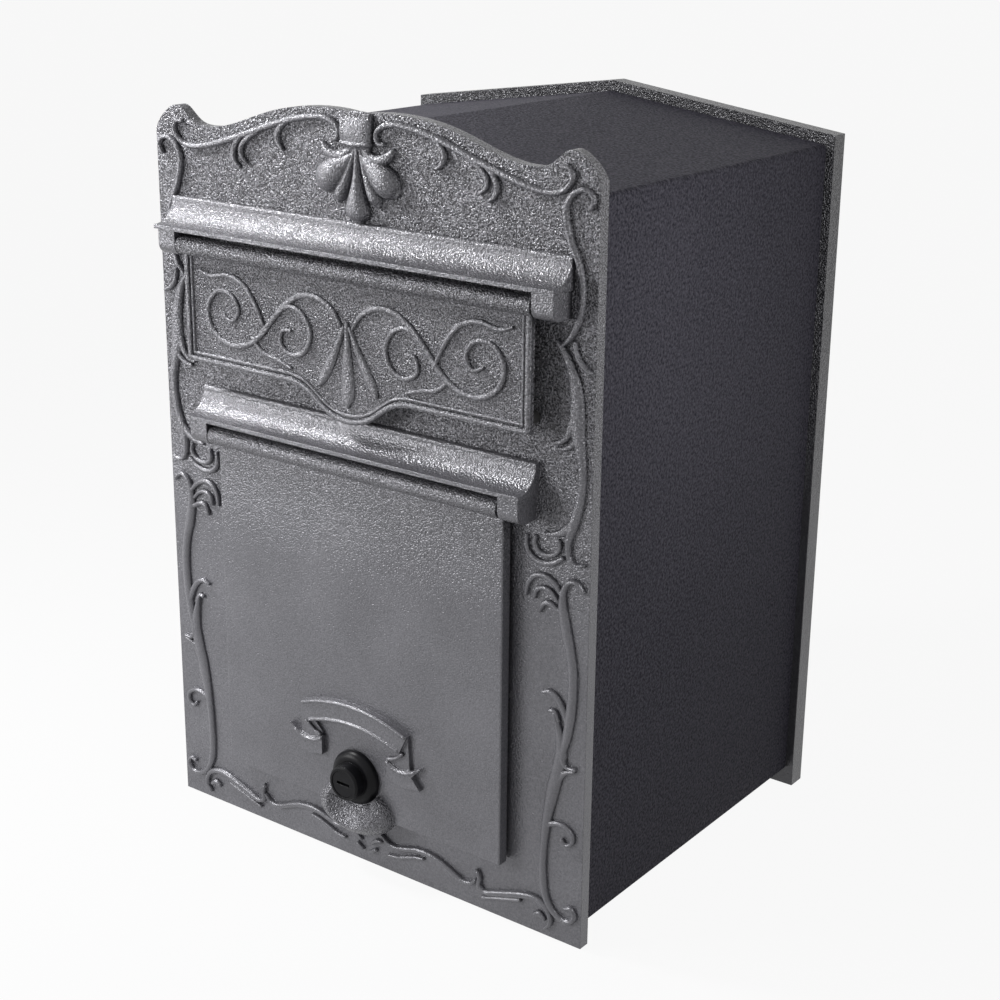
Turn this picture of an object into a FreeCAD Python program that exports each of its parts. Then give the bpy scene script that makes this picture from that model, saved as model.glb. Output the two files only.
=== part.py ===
import FreeCAD, Part
import math
import os
from FreeCAD import Matrix, Vector

# Wall mounted post box, in millimetres. X runs across the front, Y points at the wall and Z is up.
# The origin is the centre of the four wall screws, on the wall face of the back plate.
# Heights named *_height are measured from the bottom edge, drops of the plate's top edge from its
# crest, and distances named *_out from the front face of the front plate towards the street.

# Front plate casting
plate_width = 260.0
plate_height = 375.6
plate_thickness = 6.0
side_drop = 18.6
shoulder_drop = 6.4
shoulder_inset = 15.0
shoulder_swell = 3.1
valley_drop = 15.1
valley_inset = 35.0
valley_hollow = 2.3
flank_swell = 2.6
crest_x = 16.0
centre_drop = 1.6
fixing_height = 185.0

# Openings in the front plate
slot_width = 188.0
slot_height = 35.0
slot_drop = 12.2
slot_corner = 4.0
door_opening_width = 156.0
door_opening_bottom_height = 38.5
door_opening_drop = 16.3
door_opening_corner = 8.0

# Folded steel body
body_depth = 198.5
body_inset = 3.2
body_bottom_height = 10.0
eaves_drop = 24.6
ridge_drop = 7.6
sheet = 1.5
fold_radius = 2.5
flange_width = 14.0
floor_flange = 15.0
fold_gap = 0.5

# Back plate casting
back_plate_depth = 10.5
back_plate_margin = 4.5
back_plate_top_margin = 5.5
back_web = 4.0
back_rim = 4.0
rib_thickness = 3.0
back_boss_floor = 2.0
wall_screw_spacing_x = 160.0
wall_screw_spacing_z = 240.0
wall_screw_hole_r = 3.25
wall_boss_r = 9.0

# Body screws, M4 pan head
screw_r = 2.0
screw_head_r = 3.7
screw_head_height = 2.4
screw_bite = 4.0
screw_play = 0.05
screw_clearance = 0.25
screw_edge = 8.0
side_screw_low_height = 62.0
side_screw_drop = 51.0
roof_screw_x = 60.0
floor_screw_x = 70.0
screw_boss_r = 4.6
blind_end = 0.8

# Hoods over the two hinges
hood_out = 15.5
hood_lip = 2.0
hood_underside = 7.2
hood_rise = 21.7
hood_bead = 1.6
hood_bead_out = 2.8
hood_bead_drop = 2.8
cove_mid_out = 6.6
cove_mid_rise = 12.2
hood_overhang = 1.3
cheek_out = 14.0
cheek_drop = 5.2
cheek_corner = 5.0
cheek_width = 11.0
barrel_gap = 1.0
hood_screw_r = 1.6
hood_screw_head_r = 3.0
hood_screw_head_height = 2.0
hood_screw_rise = 9.8
hood_screw_bite = 6.0
hood_screw_share = 0.85
hood_screw_inner_share = 0.3

# Hinges
hinge_out = 10.0
barrel_r = 4.5
pin_r = 2.0
pin_play = 0.08
pin_blind = 6.0

# Posting flap
flap_axis_drop = 71.4
flap_cover = 9.4
flap_barrel_over = 1.6
flap_front_out = 9.5
flap_thickness = 2.4
flap_rim_height = 1.3
flap_rim_width = 2.4
flap_groove = 1.0
flap_bead_width = 1.2
flap_bead_height = 0.7
flap_side_drop = 56.6
flap_dip_drop = 70.7
flap_ogee_half_width = 38.0

# Collection door
flap_hood_gap = 0.5
door_cover = 10.0
door_barrel_over = 0.5
door_front_out = 7.5
door_thickness = 5.6
door_bottom_height = 32.5
door_edge_round = 0.8
door_top_rise = 1.5

# Thumb pull on the collection door
pull_height = 34.0
pull_half_width = 23.0
pull_out = 9.5
pull_half_height = 13.0
pull_scoop_r = 18.0
pull_scoop_out = 17.5
pull_scoop_rise = 7.0
pull_lock_gap = 1.0
pull_sink = 1.0

# Rubber buffers
buffer_r = 3.0
buffer_seat_gap = 0.3
flap_buffer_edge = 4.7
flap_buffer_rise = 5.4
door_buffer_edge = 5.0
door_buffer_inset = 7.5

# Cam lock
lock_height = 51.0
lock_flange_r = 14.2
lock_flange_edge = 1.3
lock_flange_rise = 4.5
lock_flange_swell = 0.45
lock_flange_swell_inset = 1.1
lock_head_r = 9.0
lock_head_out = 18.3
lock_head_chamfer = 0.8
lock_barrel_r = 9.5
lock_flat = 8.0
lock_hole_play = 0.15
plug_face_r = 7.0
plug_face_depth = 8.0
plug_shaft_r = 5.5
plug_play = 0.08
plug_recess = 0.3
key_slot_length = 8.0
key_slot_width = 1.6
key_slot_depth = 14.0
drive_square = 7.0
nut_across_flats = 22.0
nut_thickness = 4.0
cam_gap = 0.3
cam_thickness = 2.0
cam_eye_r = 8.0
cam_width = 14.0
cam_reach = 24.0
cam_washer_r = 5.0
cam_washer_thickness = 1.0
cam_bolt_r = 2.5
cam_bolt_length = 10.0
cam_bolt_across_flats = 8.0
cam_bolt_head = 3.5

# Relief on the front plate. It is drawn for a plate of this width and height, its right half as
# stations of (x, height, foot width) along each band, and stretched to the real plate.
relief_drawing = (260.0, 375.6)
relief_sink = 0.5
relief_gap = 0.5
relief_turn = math.radians(45.0)
band_rise = 2.0
tendril_rise = 1.7
bands = [
    # Long scroll under the top edge, curled at both ends
    [(15.4, 362, 1.8), (12.2, 362.4, 2.0), (11, 366, 2.2), (13.8, 369.3, 2.4), (20.5, 371.2, 2.6),
     (31, 370.4, 2.8), (46, 367, 2.8), (61, 362.1, 2.8), (76.5, 357, 2.8), (91.5, 352.6, 2.8),
     (101.5, 350.7, 2.6), (108.5, 350.9, 2.4), (113.8, 353.4, 2.2), (116.5, 357.8, 2.0), (115, 361.6, 1.8),
     (111.3, 361.8, 1.6)],
    # Scroll at the top of the side
    [(125.5, 346, 1.6), (127.2, 349.5, 1.8), (125.3, 352.8, 2.0), (121, 353.4, 2.2), (116.2, 350.5, 2.6),
     (113.7, 345.5, 2.8), (113.8, 340, 3.0), (116.4, 331, 3.0), (120.6, 322.5, 3.0), (122.6, 312, 3.0),
     (121.8, 301, 2.8), (118, 292, 2.2), (113.5, 287, 1.4)],
    # Broad leaf beside the slot, running down into a long band
    [(110.8, 288.3, 1.4), (115.3, 283, 3.0), (118.8, 275, 5.0), (120.8, 266, 6.6), (121.3, 257, 7.6),
     (121.8, 250, 7.0), (123.2, 243, 5.2), (124.6, 235, 3.8), (124.8, 226, 3.6), (123.2, 216, 4.2),
     (120.6, 208, 4.8), (118.6, 200.5, 3.4), (118.6, 194.5, 2.4), (120.6, 190.8, 2.0), (124, 190, 1.8),
     (127, 191, 1.2)],
    # Band beside the middle of the door
    [(127, 178.3, 1.2), (123.8, 181.6, 2.0), (120, 181.4, 2.2), (117, 177.5, 2.6), (116, 171, 3.6),
     (116.8, 164, 5.2), (118.6, 156, 5.4), (120.8, 148, 4.6), (122.2, 139, 4.6), (122.4, 128, 4.6),
     (121.6, 117, 4.8), (120, 106, 4.2), (118.2, 97, 2.8), (119.8, 91.8, 1.8), (125, 91.6, 1.2)],
    # Band down to the corner, ending in a curl
    [(113.4, 116, 1.4), (115.8, 108, 3.8), (117, 98, 6.2), (115.4, 88, 6.8), (113.2, 79, 6.8),
     (111.2, 69, 5.8), (109.6, 59, 4.6), (108.6, 49, 3.8), (108.2, 38, 3.6), (108.8, 27, 3.8),
     (110.8, 20, 3.4), (114.6, 14.8, 2.8), (119.4, 12.2, 2.6), (124.2, 12.6, 2.4), (126.6, 16, 2.2),
     (124.9, 19.6, 2.0), (121.8, 19, 1.6)],
    # Wave along the bottom edge, from the corner to the pull
    [(110.5, 4.4, 1.4), (113, 7.4, 2.0), (113, 11.4, 2.4), (110.4, 15.4, 2.8), (105.6, 17.6, 3.2),
     (99.5, 17.6, 3.4), (90, 14.8, 3.6), (80, 11.6, 3.2), (74.6, 10.4, 2.6), (71.2, 12.4, 2.4), (71.4, 17, 2.2),
     (69.8, 21.4, 1.6)],
    [(69.2, 15.2, 1.4), (66.6, 12.4, 2.2), (62, 11.5, 2.6), (57.6, 12.6, 3.0), (52, 15, 3.2), (45, 17.4, 3.2),
     (38, 18.4, 3.2), (32, 18, 3.0), (26, 16.4, 2.8), (20, 15, 2.6), (14.5, 15.6, 2.2), (10.6, 18.6, 1.4)],
]
tendrils = [
    # Three that peel off the long scroll
    [(39, 369, 2.0), (45.6, 365.6, 2.4), (49, 361, 3.0), (48.2, 357, 2.4), (45.4, 354.4, 1.0)],
    [(58, 363, 2.0), (66, 358.8, 2.2), (71.6, 354, 2.4), (72.3, 349.6, 2.0), (69, 346.3, 1.0)],
    [(71, 358.8, 1.8), (75.6, 354.8, 2.6), (77.6, 350, 2.8), (76.6, 346, 2.2), (73.4, 343.4, 1.0)],
    # Hook and leaflets of the broad leaf
    [(119.4, 289, 1.2), (121, 283, 2.0), (124.4, 279.2, 2.0), (128, 277.4, 1.2)],
    [(119, 254, 4.0), (117, 248, 3.0), (113.4, 244.4, 2.2), (109.4, 243.4, 1.2)],
    [(122, 250, 3.0), (120.6, 245.4, 2.6), (116.6, 242.2, 2.0), (111.6, 241, 1.2)],
    # Leaf under the lower hood's end
    [(121.6, 211, 3.0), (117.4, 205.2, 4.0), (111.8, 202, 2.6), (106, 201, 1.2)],
    # Open rings at mid height
    [(96.2, 198, 1.4), (96.4, 192.4, 2.4), (99.4, 188.6, 2.6), (104.6, 187, 2.6), (110.6, 188.2, 2.4),
     (115.6, 191.4, 1.8)],
    [(101, 198.6, 1.6), (100.6, 194.8, 2.0), (103, 191.9, 2.0), (107, 191.1, 2.0), (111.4, 192.4, 2.0),
     (114.2, 196, 1.8), (113.6, 199.2, 1.4)],
    [(96.4, 170.4, 1.4), (97.4, 175.8, 2.2), (100.4, 179.8, 2.4), (104.8, 181.2, 2.4), (109, 180.2, 2.4),
     (112.8, 177.6, 2.2), (115.4, 174.6, 1.6)],
    [(101, 170, 1.6), (102.2, 173.8, 2.0), (105.8, 175.4, 2.0), (110, 174.4, 2.0), (113.6, 171, 1.4)],
    [(104, 164, 1.4), (106.2, 168, 2.2), (109.8, 168.6, 2.4), (114, 166.4, 2.0)],
    # Small leaf beside the door
    [(106, 125, 1.2), (110, 126, 2.2), (114, 124.4, 2.8), (117.6, 119.6, 3.0), (120, 113.6, 2.4)],
    [(110.6, 117, 1.6), (113.4, 117, 2.0), (115.6, 113.4, 1.4)],
    # Tip and curl of the corner band
    [(114.4, 80, 3.0), (117.4, 86, 3.0), (120.8, 89, 2.0), (124.4, 90.2, 1.2)],
    [(111, 59.4, 2.6), (115.6, 61.2, 2.2), (120.6, 60.8, 2.2), (124.4, 57.8, 2.0), (124.2, 53.8, 1.8),
     (121.2, 51.8, 1.6), (119, 53.8, 1.4)],
    # Strokes under the waves and beside the pull
    [(104.6, 9.4, 2.6), (107, 10.4, 3.2), (109.6, 9, 2.0)],
    [(74, 7.2, 1.2), (84, 10.2, 1.6), (95, 13.4, 1.8)],
    [(14.6, 9.2, 1.2), (20, 9.8, 1.6), (26, 11.8, 1.8), (32, 13.8, 1.8), (36.4, 14.6, 1.4)],
    [(3.6, 12, 1.4), (6.4, 14, 2.0), (9.4, 14.8, 1.4)],
    [(2.8, 7, 1.4), (5.8, 8.8, 1.8)],
]

# Palmette on the crest: its right half as stations of (x, height, foot width, rise)
palmette_strap = [(0, 375, 17, 0.8), (0, 373.4, 17.6, 2.8), (0, 370, 18, 3.8), (0, 366, 18, 4.2),
                  (0, 362, 17.4, 3.6), (0, 359.4, 15.4, 2.4), (0, 358, 13.6, 1.2)]
palmette_drop = [(0, 358.6, 2.2, 2.2), (0, 350, 3.4, 2.8), (0, 343, 6.0, 3.6), (0, 336.5, 10.2, 4.6),
                 (0, 331.4, 13, 5.0), (0, 328, 11.4, 3.8), (0, 326.6, 7.0, 1.8)]
palmette_side = [
    [(1.8, 358, 1.8, 1.6), (4, 350.8, 2.8, 2.4), (7, 344, 4.8, 3.2), (9.8, 338.9, 6.4, 3.6),
     (11.2, 336.4, 5.8, 2.8), (11.9, 335, 3.4, 1.4)],
    [(2.6, 356, 3.0, 2.0), (7.2, 352.6, 7.0, 3.4), (12, 349, 11.4, 4.8), (16.4, 345.8, 13.4, 5.4),
     (19.6, 343.4, 12.6, 4.6), (21.8, 341.8, 9.6, 3.0), (22.8, 341, 6.0, 1.4)],
    [(4, 358.4, 3.4, 1.8), (8.4, 355.6, 4.4, 2.8), (13.4, 355, 5.0, 3.2), (18, 356.8, 4.6, 2.8),
     (20.4, 359.4, 2.6, 1.6)],
]

# Scrollwork on the flap: its right half as stations of (x, height above the straight lower edge,
# foot width), drawn for a flap of this width and this drop from the hinge to that edge
flap_drawing = (206.8, 56.6)
flap_scroll_rise = 1.1
flap_scrolls = [
    [(4, 32, 1.4), (9, 38.6, 2.2), (18, 42.8, 2.4), (28, 42.4, 2.6), (38, 36.6, 2.6), (47, 27.6, 2.6),
     (56, 18, 2.6), (67, 12.2, 2.6), (79, 12.6, 2.4), (87.6, 19.6, 2.2), (88.8, 29.6, 2.2), (82, 37, 2.0),
     (73, 36.2, 1.8), (68.6, 29.4, 1.6), (72.4, 23.6, 1.4), (77.8, 25.4, 1.2)],
    [(43.6, 31.4, 1.4), (35.6, 36.2, 1.8), (27, 33.4, 2.0), (22.8, 25, 2.2), (26, 16.4, 2.2), (34.2, 13, 2.0),
     (41.2, 17, 1.8), (40.2, 23.8, 1.4), (35, 24.6, 1.2)],
    [(51.6, 22.6, 1.4), (57, 33, 2.0), (64.6, 42, 2.2), (75, 45.6, 2.0), (86, 43.8, 1.6), (93.4, 45.8, 1.0)],
    [(59, 15.8, 1.4), (52, 10.8, 1.8), (43.6, 9.2, 1.6), (35.4, 6.8, 1.0)],
]
flap_lobe_centre = [(0, 33, 2.0), (0, 24, 3.4), (0, 12, 6.4), (0, 3, 8.2), (0, -2.6, 6.6), (0, -5.4, 2.4)]
flap_lobe_side = [(2, 31, 1.8), (6, 22, 3.2), (11, 12.4, 5.2), (15, 5.6, 5.0), (17.2, 2, 2.0)]

# Blank banner over the lock: its right half as corners of (x, height above the lock). The folds
# and tails are drawn for a banner of this half width and top.
banner_drawing = (34.0, 39.0)
banner_rise = 1.6
banner_half_width = 34.0
banner_top = 39.0
banner_end_top = 32.4
banner_bottom = 28.2
banner_end_bottom = 22.8
banner_end_half_width = 29.0
banner_fold = [(21.4, 18.8), (27.0, 24.4), (31.6, 27.4), (35.0, 13.0), (29.2, 11.0), (22.4, 13.0)]
banner_tail = [(21.0, 16.4), (29.2, 13.4), (37.5, 15.4), (42.0, 17.6), (36.4, 11.8), (41.4, 6.4),
               (31.0, 4.6), (21.0, 6.8)]
banner_fold_rise = 0.7
banner_tail_rise = 1.2

# Places worked out from the sizes
half_width = plate_width / 2
bottom_z = -fixing_height
crest_z = bottom_z + plate_height
eaves_z = crest_z - eaves_drop
ridge_z = crest_z - ridge_drop
body_back_y = -back_plate_depth
body_front_y = body_back_y - body_depth
front_y = body_front_y - plate_thickness
body_half_width = half_width - body_inset
roof_slope = math.atan((ridge_z - eaves_z) / body_half_width)
flap_axis_z = crest_z - flap_axis_drop
flap_width = slot_width + 2 * flap_cover
flap_barrel_length = flap_width + 2 * flap_barrel_over
slot_z_range = (flap_axis_z - slot_drop - slot_height, flap_axis_z - slot_drop)
door_axis_z = flap_axis_z - flap_dip_drop - flap_hood_gap - hood_rise
door_width = door_opening_width + 2 * door_cover
door_barrel_length = door_width + 2 * door_barrel_over
door_opening_z_range = (bottom_z + door_opening_bottom_height, door_axis_z - door_opening_drop)
hinge_y = front_y - hinge_out
lock_z = bottom_z + lock_height
cam_front_y = body_front_y + cam_gap
over = 1.0


def block(x_range, y_range, z_range):
    """Box between three pairs of coordinates."""
    size = (x_range[1] - x_range[0], y_range[1] - y_range[0], z_range[1] - z_range[0])
    return Part.makeBox(*size, Vector(x_range[0], y_range[0], z_range[0]))


def rod_x(radius, x_range, y, z):
    """Cylinder along X."""
    return Part.makeCylinder(radius, x_range[1] - x_range[0], Vector(x_range[0], y, z), Vector(1, 0, 0))


def rod_y(radius, y_range, x, z):
    """Cylinder along Y."""
    return Part.makeCylinder(radius, y_range[1] - y_range[0], Vector(x, y_range[0], z), Vector(0, 1, 0))


def prism_y(corners, y_range):
    """Polygon of (x, z) corners, carried from one Y to the other."""
    points = [Vector(x, y_range[0], z) for x, z in corners]
    face = Part.Face(Part.makePolygon(points + points[:1]))
    return face.extrude(Vector(0, y_range[1] - y_range[0], 0))


def hexagon_y(across_flats, y_range, x, z):
    """Hexagonal bar along Y."""
    radius = across_flats / math.sqrt(3)
    turns = [math.radians(60 * corner) for corner in range(6)]
    corners = [(x + radius * math.cos(turn), z + radius * math.sin(turn)) for turn in turns]
    return prism_y(corners, y_range)


def both_sides(shape):
    """The shape and its mirror image across the centre plane."""
    return [shape, shape.mirror(Vector(0, 0, 0), Vector(1, 0, 0))]


def united(shapes):
    """One solid made of several that meet or overlap."""
    return shapes[0].multiFuse(shapes[1:]).removeSplitter()


def round_edges_along(shape, direction, radius, wanted=lambda edge: True):
    """Round the straight edges that run along a direction."""
    edges = []
    for edge in shape.Edges:
        if edge.Curve.TypeId != "Part::GeomLine":
            continue
        along = abs(edge.tangentAt(edge.FirstParameter).dot(direction))
        if along > 0.999 and wanted(edge):
            edges.append(edge)
    return shape.makeFillet(radius, edges)


def rounded_window(half, z_range, y_range, corner):
    """Rectangular opening with round corners, symmetrical about the centre plane."""
    window = block((-half, half), y_range, z_range)
    return round_edges_along(window, Vector(0, 1, 0), corner)


# Relief

tendril_section = [(-1.0, 0.0), (-0.5, 1.0), (0.5, 1.0), (1.0, 0.0)]
band_section = [(-1.0, 0.0), (-0.6, 0.84), (0.0, 1.0), (0.6, 0.84), (1.0, 0.0)]
lobe_section = [(-1.0, 0.0), (-0.88, 0.48), (-0.5, 0.88), (0.0, 1.0), (0.5, 0.88), (0.88, 0.48), (1.0, 0.0)]
strap_section = [(-1.0, 0.0), (-0.9, 0.85), (-0.7, 1.0), (0.7, 1.0), (0.9, 0.85), (1.0, 0.0)]


def heading(start, end):
    """Direction from one station to another, which have (x, z) first."""
    return math.atan2(end[1] - start[1], end[0] - start[0])


def smooth_route(stations):
    """Stations on the smooth curve through the given ones, with more of them where it turns."""
    padded = [stations[0], *stations, stations[-1]]
    route = []
    for a, b, c, d in zip(padded, padded[1:], padded[2:], padded[3:]):
        turn = abs(math.remainder(heading(b, d) - heading(a, c), math.tau))
        steps = 1 + math.floor(turn / relief_turn)
        for step in range(steps):
            t = step / steps
            weights = ((-t + 2 * t**2 - t**3) / 2, (2 - 5 * t**2 + 3 * t**3) / 2,
                       (t + 4 * t**2 - 3 * t**3) / 2, (t**3 - t**2) / 2)
            columns = zip(a, b, c, d)
            route.append([sum(w * value for w, value in zip(weights, column)) for column in columns])
    return route + [stations[-1]]


def ridge(stations, section, face_y):
    """Raised band with its foot sunk in a face. Stations are (x, z, foot width, rise)."""
    route = smooth_route(stations)
    rows = []
    for index, (x, z, width, rise) in enumerate(route):
        before = route[max(index - 1, 0)]
        after = route[min(index + 1, len(route) - 1)]
        along = Vector(after[0] - before[0], 0, after[1] - before[1]).normalize()
        across = Vector(along.z, 0, -along.x) * (width / 2)
        foot = Vector(x, face_y + relief_sink, z)
        up = Vector(0, -rise - relief_sink, 0)
        rows.append([foot + across * share + up * level for share, level in section])
    faces = [Part.Face(Part.makePolygon(row + row[:1])) for row in (rows[0], rows[-1])]
    for row, after in zip(rows, rows[1:]):
        for left, right, far_left, far_right in zip(row, row[1:] + row[:1], after, after[1:] + after[:1]):
            faces.append(Part.Face(Part.makePolygon([left, right, far_right, left])))
            faces.append(Part.Face(Part.makePolygon([left, far_right, far_left, left])))
    return Part.Solid(Part.Shell(faces))


def on_plate(stations, rise=None):
    """Stations of the drawn relief, stretched to the plate. A rise is added where none is drawn."""
    wide = plate_width / relief_drawing[0]
    high = plate_height / relief_drawing[1]
    placed = []
    for x, height, width, *drawn_rise in stations:
        own_rise = wide * drawn_rise[0] if drawn_rise else rise
        placed.append((wide * x, bottom_z + high * height, wide * width, own_rise))
    return placed


def relief():
    """Scrolls, tendrils and palmette of the front plate, one solid each."""
    shapes = []
    for stations in bands:
        shapes += both_sides(ridge(on_plate(stations, band_rise), band_section, front_y))
    for stations in tendrils:
        shapes += both_sides(ridge(on_plate(stations, tendril_rise), tendril_section, front_y))
    for stations in palmette_side:
        shapes += both_sides(ridge(on_plate(stations), lobe_section, front_y))
    shapes.append(ridge(on_plate(palmette_drop), lobe_section, front_y))
    shapes.append(ridge(on_plate(palmette_strap), strap_section, front_y))
    return shapes


def relief_clearances():
    """Room for the hoods and the door in front of the plate, where relief would be in their way."""
    rooms = []
    for length, z in ((flap_barrel_length, flap_axis_z), (door_barrel_length, door_axis_z)):
        half = hood_half_length(length) + relief_gap
        rooms.append(block((-half, half), (front_y - hood_out, front_y), (z - cheek_drop, z + hood_rise)))
    half = door_width / 2 + relief_gap
    door_z_range = (bottom_z + door_bottom_height - relief_gap, door_axis_z)
    rooms.append(block((-half, half), (front_y - hood_out, front_y), door_z_range))
    return rooms


# Front plate

def plate_top_points():
    """Points (x, drop below the crest) of the right half of the top edge, from side to centre."""
    shoulder_x = half_width - shoulder_inset
    valley_x = half_width - valley_inset
    return [
        (half_width, side_drop),
        ((half_width + shoulder_x) / 2, (side_drop + shoulder_drop) / 2 - shoulder_swell),
        (shoulder_x, shoulder_drop),
        ((shoulder_x + valley_x) / 2, (shoulder_drop + valley_drop) / 2 + valley_hollow),
        (valley_x, valley_drop),
        ((valley_x + crest_x) / 2, valley_drop / 2 - flank_swell),
        (crest_x, 0.0),
        (0.0, centre_drop),
    ]


def plate_outline(y):
    """Closed outline of the front plate."""
    curve = Part.BSplineCurve()
    curve.interpolate([Vector(x, y, crest_z - drop) for x, drop in plate_top_points()])
    corners = [
        Vector(-half_width, y, crest_z - side_drop),
        Vector(-half_width, y, bottom_z),
        Vector(half_width, y, bottom_z),
        Vector(half_width, y, crest_z - side_drop),
    ]
    edges = [*Part.makePolygon(corners).Edges, *both_sides(curve.toShape())]
    return Part.Wire(Part.__sortEdges__(edges))


def front_plate():
    """Cast plate with its relief, the posting slot, the door opening and blind holes at the back."""
    plate = Part.Face(plate_outline(front_y)).extrude(Vector(0, plate_thickness, 0))
    plate = united([plate, *relief()])
    through = (front_y - over, body_front_y + over)
    cuts = [
        rounded_window(slot_width / 2, slot_z_range, through, slot_corner),
        rounded_window(door_opening_width / 2, door_opening_z_range, through, door_opening_corner),
        *relief_clearances(),
    ]
    blind = (body_front_y - screw_bite - blind_end, body_front_y + over)
    cuts += [rod_y(screw_r + screw_play, blind, x, z) for x, z in body_screw_places()]
    for width, axis_z in ((flap_barrel_length, flap_axis_z), (door_barrel_length, door_axis_z)):
        for x, z in hood_screw_places(width, axis_z):
            cuts.append(rod_y(hood_screw_r + screw_clearance, through, x, z))
    return plate.cut(Part.makeCompound(cuts))


# Hinge hoods

def hood_half_length(barrel_length):
    """Half length of the hood above a hinge barrel."""
    return barrel_length / 2 + barrel_gap + cheek_width + hood_overhang


def hood_section(x, axis_z):
    """Face of the hood's section: rounded bead at the plate, hollow cove, thin front lip."""
    def at(out, rise):
        return Vector(x, front_y - out, axis_z + rise)

    bead_start = hood_bead_out - hood_bead
    bead_mid = hood_bead * (1 - math.sqrt(0.5))
    lip_rise = hood_underside + hood_lip
    edges = [
        Part.makeLine(at(0, hood_rise), at(bead_start, hood_rise)),
        Part.Arc(at(bead_start, hood_rise), at(hood_bead_out - bead_mid, hood_rise - bead_mid),
                 at(hood_bead_out, hood_rise - hood_bead)).toShape(),
        Part.makeLine(at(hood_bead_out, hood_rise - hood_bead),
                      at(hood_bead_out, hood_rise - hood_bead_drop)),
        Part.Arc(at(hood_bead_out, hood_rise - hood_bead_drop), at(cove_mid_out, cove_mid_rise),
                 at(hood_out, lip_rise)).toShape(),
        Part.makeLine(at(hood_out, lip_rise), at(hood_out, hood_underside)),
        Part.makeLine(at(hood_out, hood_underside), at(0, hood_underside)),
        Part.makeLine(at(0, hood_underside), at(0, hood_rise)),
    ]
    return Part.Face(Part.Wire(edges))


def hood_screw_places(barrel_length, axis_z):
    """Places of the four screws that hold a hood from behind the plate."""
    outer = barrel_length / 2 * hood_screw_share
    inner = barrel_length / 2 * hood_screw_inner_share
    return [(x, axis_z + hood_screw_rise) for x in (-outer, -inner, inner, outer)]


def cheek(barrel_length, axis_z):
    """Right-hand ear that carries the end of the hinge pin."""
    inner = barrel_length / 2 + barrel_gap
    ear = block((inner, inner + cheek_width), (front_y - cheek_out, front_y),
                (axis_z - cheek_drop, axis_z + hood_underside))

    def is_lower_front(edge):
        centre = edge.CenterOfMass
        return centre.y < front_y - cheek_out / 2 and centre.z < axis_z

    return round_edges_along(ear, Vector(1, 0, 0), cheek_corner, is_lower_front)


def hood(barrel_length, axis_z):
    """Cast hood with an ear at each end, bored for the hinge pin and tapped from behind."""
    half = hood_half_length(barrel_length)
    canopy = hood_section(-half, axis_z).extrude(Vector(2 * half, 0, 0))
    body = united([canopy, *both_sides(cheek(barrel_length, axis_z))])
    bore = rod_x(pin_r + screw_play, pin_span(barrel_length, over, screw_play), hinge_y, axis_z)
    bite = (front_y - hood_screw_bite - blind_end, front_y + over)
    cuts = [bore]
    for x, z in hood_screw_places(barrel_length, axis_z):
        cuts.append(rod_y(hood_screw_r + screw_play, bite, x, z))
    return body.cut(Part.makeCompound(cuts))


def pin_span(barrel_length, start_over=0.0, end_over=0.0):
    """X range of a hinge pin: flush with the left ear, blind in the right one."""
    inner = barrel_length / 2 + barrel_gap
    return (-inner - cheek_width - start_over, inner + pin_blind + end_over)


def hinge_pin(barrel_length, axis_z):
    """Steel rod pressed into the hood's ears, on which the flap or door turns."""
    return rod_x(pin_r, pin_span(barrel_length), hinge_y, axis_z)


def hood_screws(barrel_length, axis_z):
    """Screws through the plate into the hood, one solid each."""
    screws = []
    for x, z in hood_screw_places(barrel_length, axis_z):
        shank = rod_y(hood_screw_r, (front_y - hood_screw_bite, body_front_y), x, z)
        head = rod_y(hood_screw_head_r, (body_front_y, body_front_y + hood_screw_head_height), x, z)
        screws.append(united([shank, head]))
    return Part.makeCompound(screws)


# Posting flap

def flap_outline(inset, y):
    """Closed outline of the flap drawn in by a margin at the sides and the bottom."""
    side = flap_width / 2 - inset
    low = flap_axis_z - flap_side_drop + inset
    dip = flap_axis_z - flap_dip_drop + inset
    ogee = flap_ogee_half_width
    swing = ogee / 2
    right = Part.BezierCurve()
    right.setPoles([Vector(0, y, dip), Vector(swing, y, dip), Vector(swing, y, low), Vector(ogee, y, low)])
    left = Part.BezierCurve()
    left.setPoles([Vector(-ogee, y, low), Vector(-swing, y, low), Vector(-swing, y, dip), Vector(0, y, dip)])
    ends = [Vector(ogee, y, low), Vector(side, y, low), Vector(side, y, flap_axis_z),
            Vector(-side, y, flap_axis_z), Vector(-side, y, low), Vector(-ogee, y, low)]
    return Part.Wire([left.toShape(), right.toShape(), *Part.makePolygon(ends).Edges])


def flap_frame(outer_inset, inner_inset, rise):
    """Raised moulding between two outlines on the face of the flap."""
    root_y = front_y - flap_front_out + flap_thickness / 2
    height = rise + flap_thickness / 2
    outer = Part.Face(flap_outline(outer_inset, root_y)).extrude(Vector(0, -height, 0))
    inner = Part.Face(flap_outline(inner_inset, root_y + over)).extrude(Vector(0, -height - 2 * over, 0))
    return outer.cut(inner)


def hinge_barrel(length, axis_z):
    """Round bar along the top of a leaf, before boring."""
    return rod_x(barrel_r, (-length / 2, length / 2), hinge_y, axis_z)


def on_flap(stations):
    """Stations of the flap's scrollwork, stretched to the flap."""
    wide = flap_width / flap_drawing[0]
    high = flap_side_drop / flap_drawing[1]
    low = flap_axis_z - flap_side_drop
    return [(wide * x, low + high * height, wide * width, flap_scroll_rise) for x, height, width in stations]


def flap_scrollwork():
    """Scrolls and lobes on the face of the flap, one solid each."""
    face_y = front_y - flap_front_out
    shapes = [ridge(on_flap(flap_lobe_centre), lobe_section, face_y)]
    shapes += both_sides(ridge(on_flap(flap_lobe_side), lobe_section, face_y))
    for stations in flap_scrolls:
        shapes += both_sides(ridge(on_flap(stations), tendril_section, face_y))
    return shapes


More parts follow.
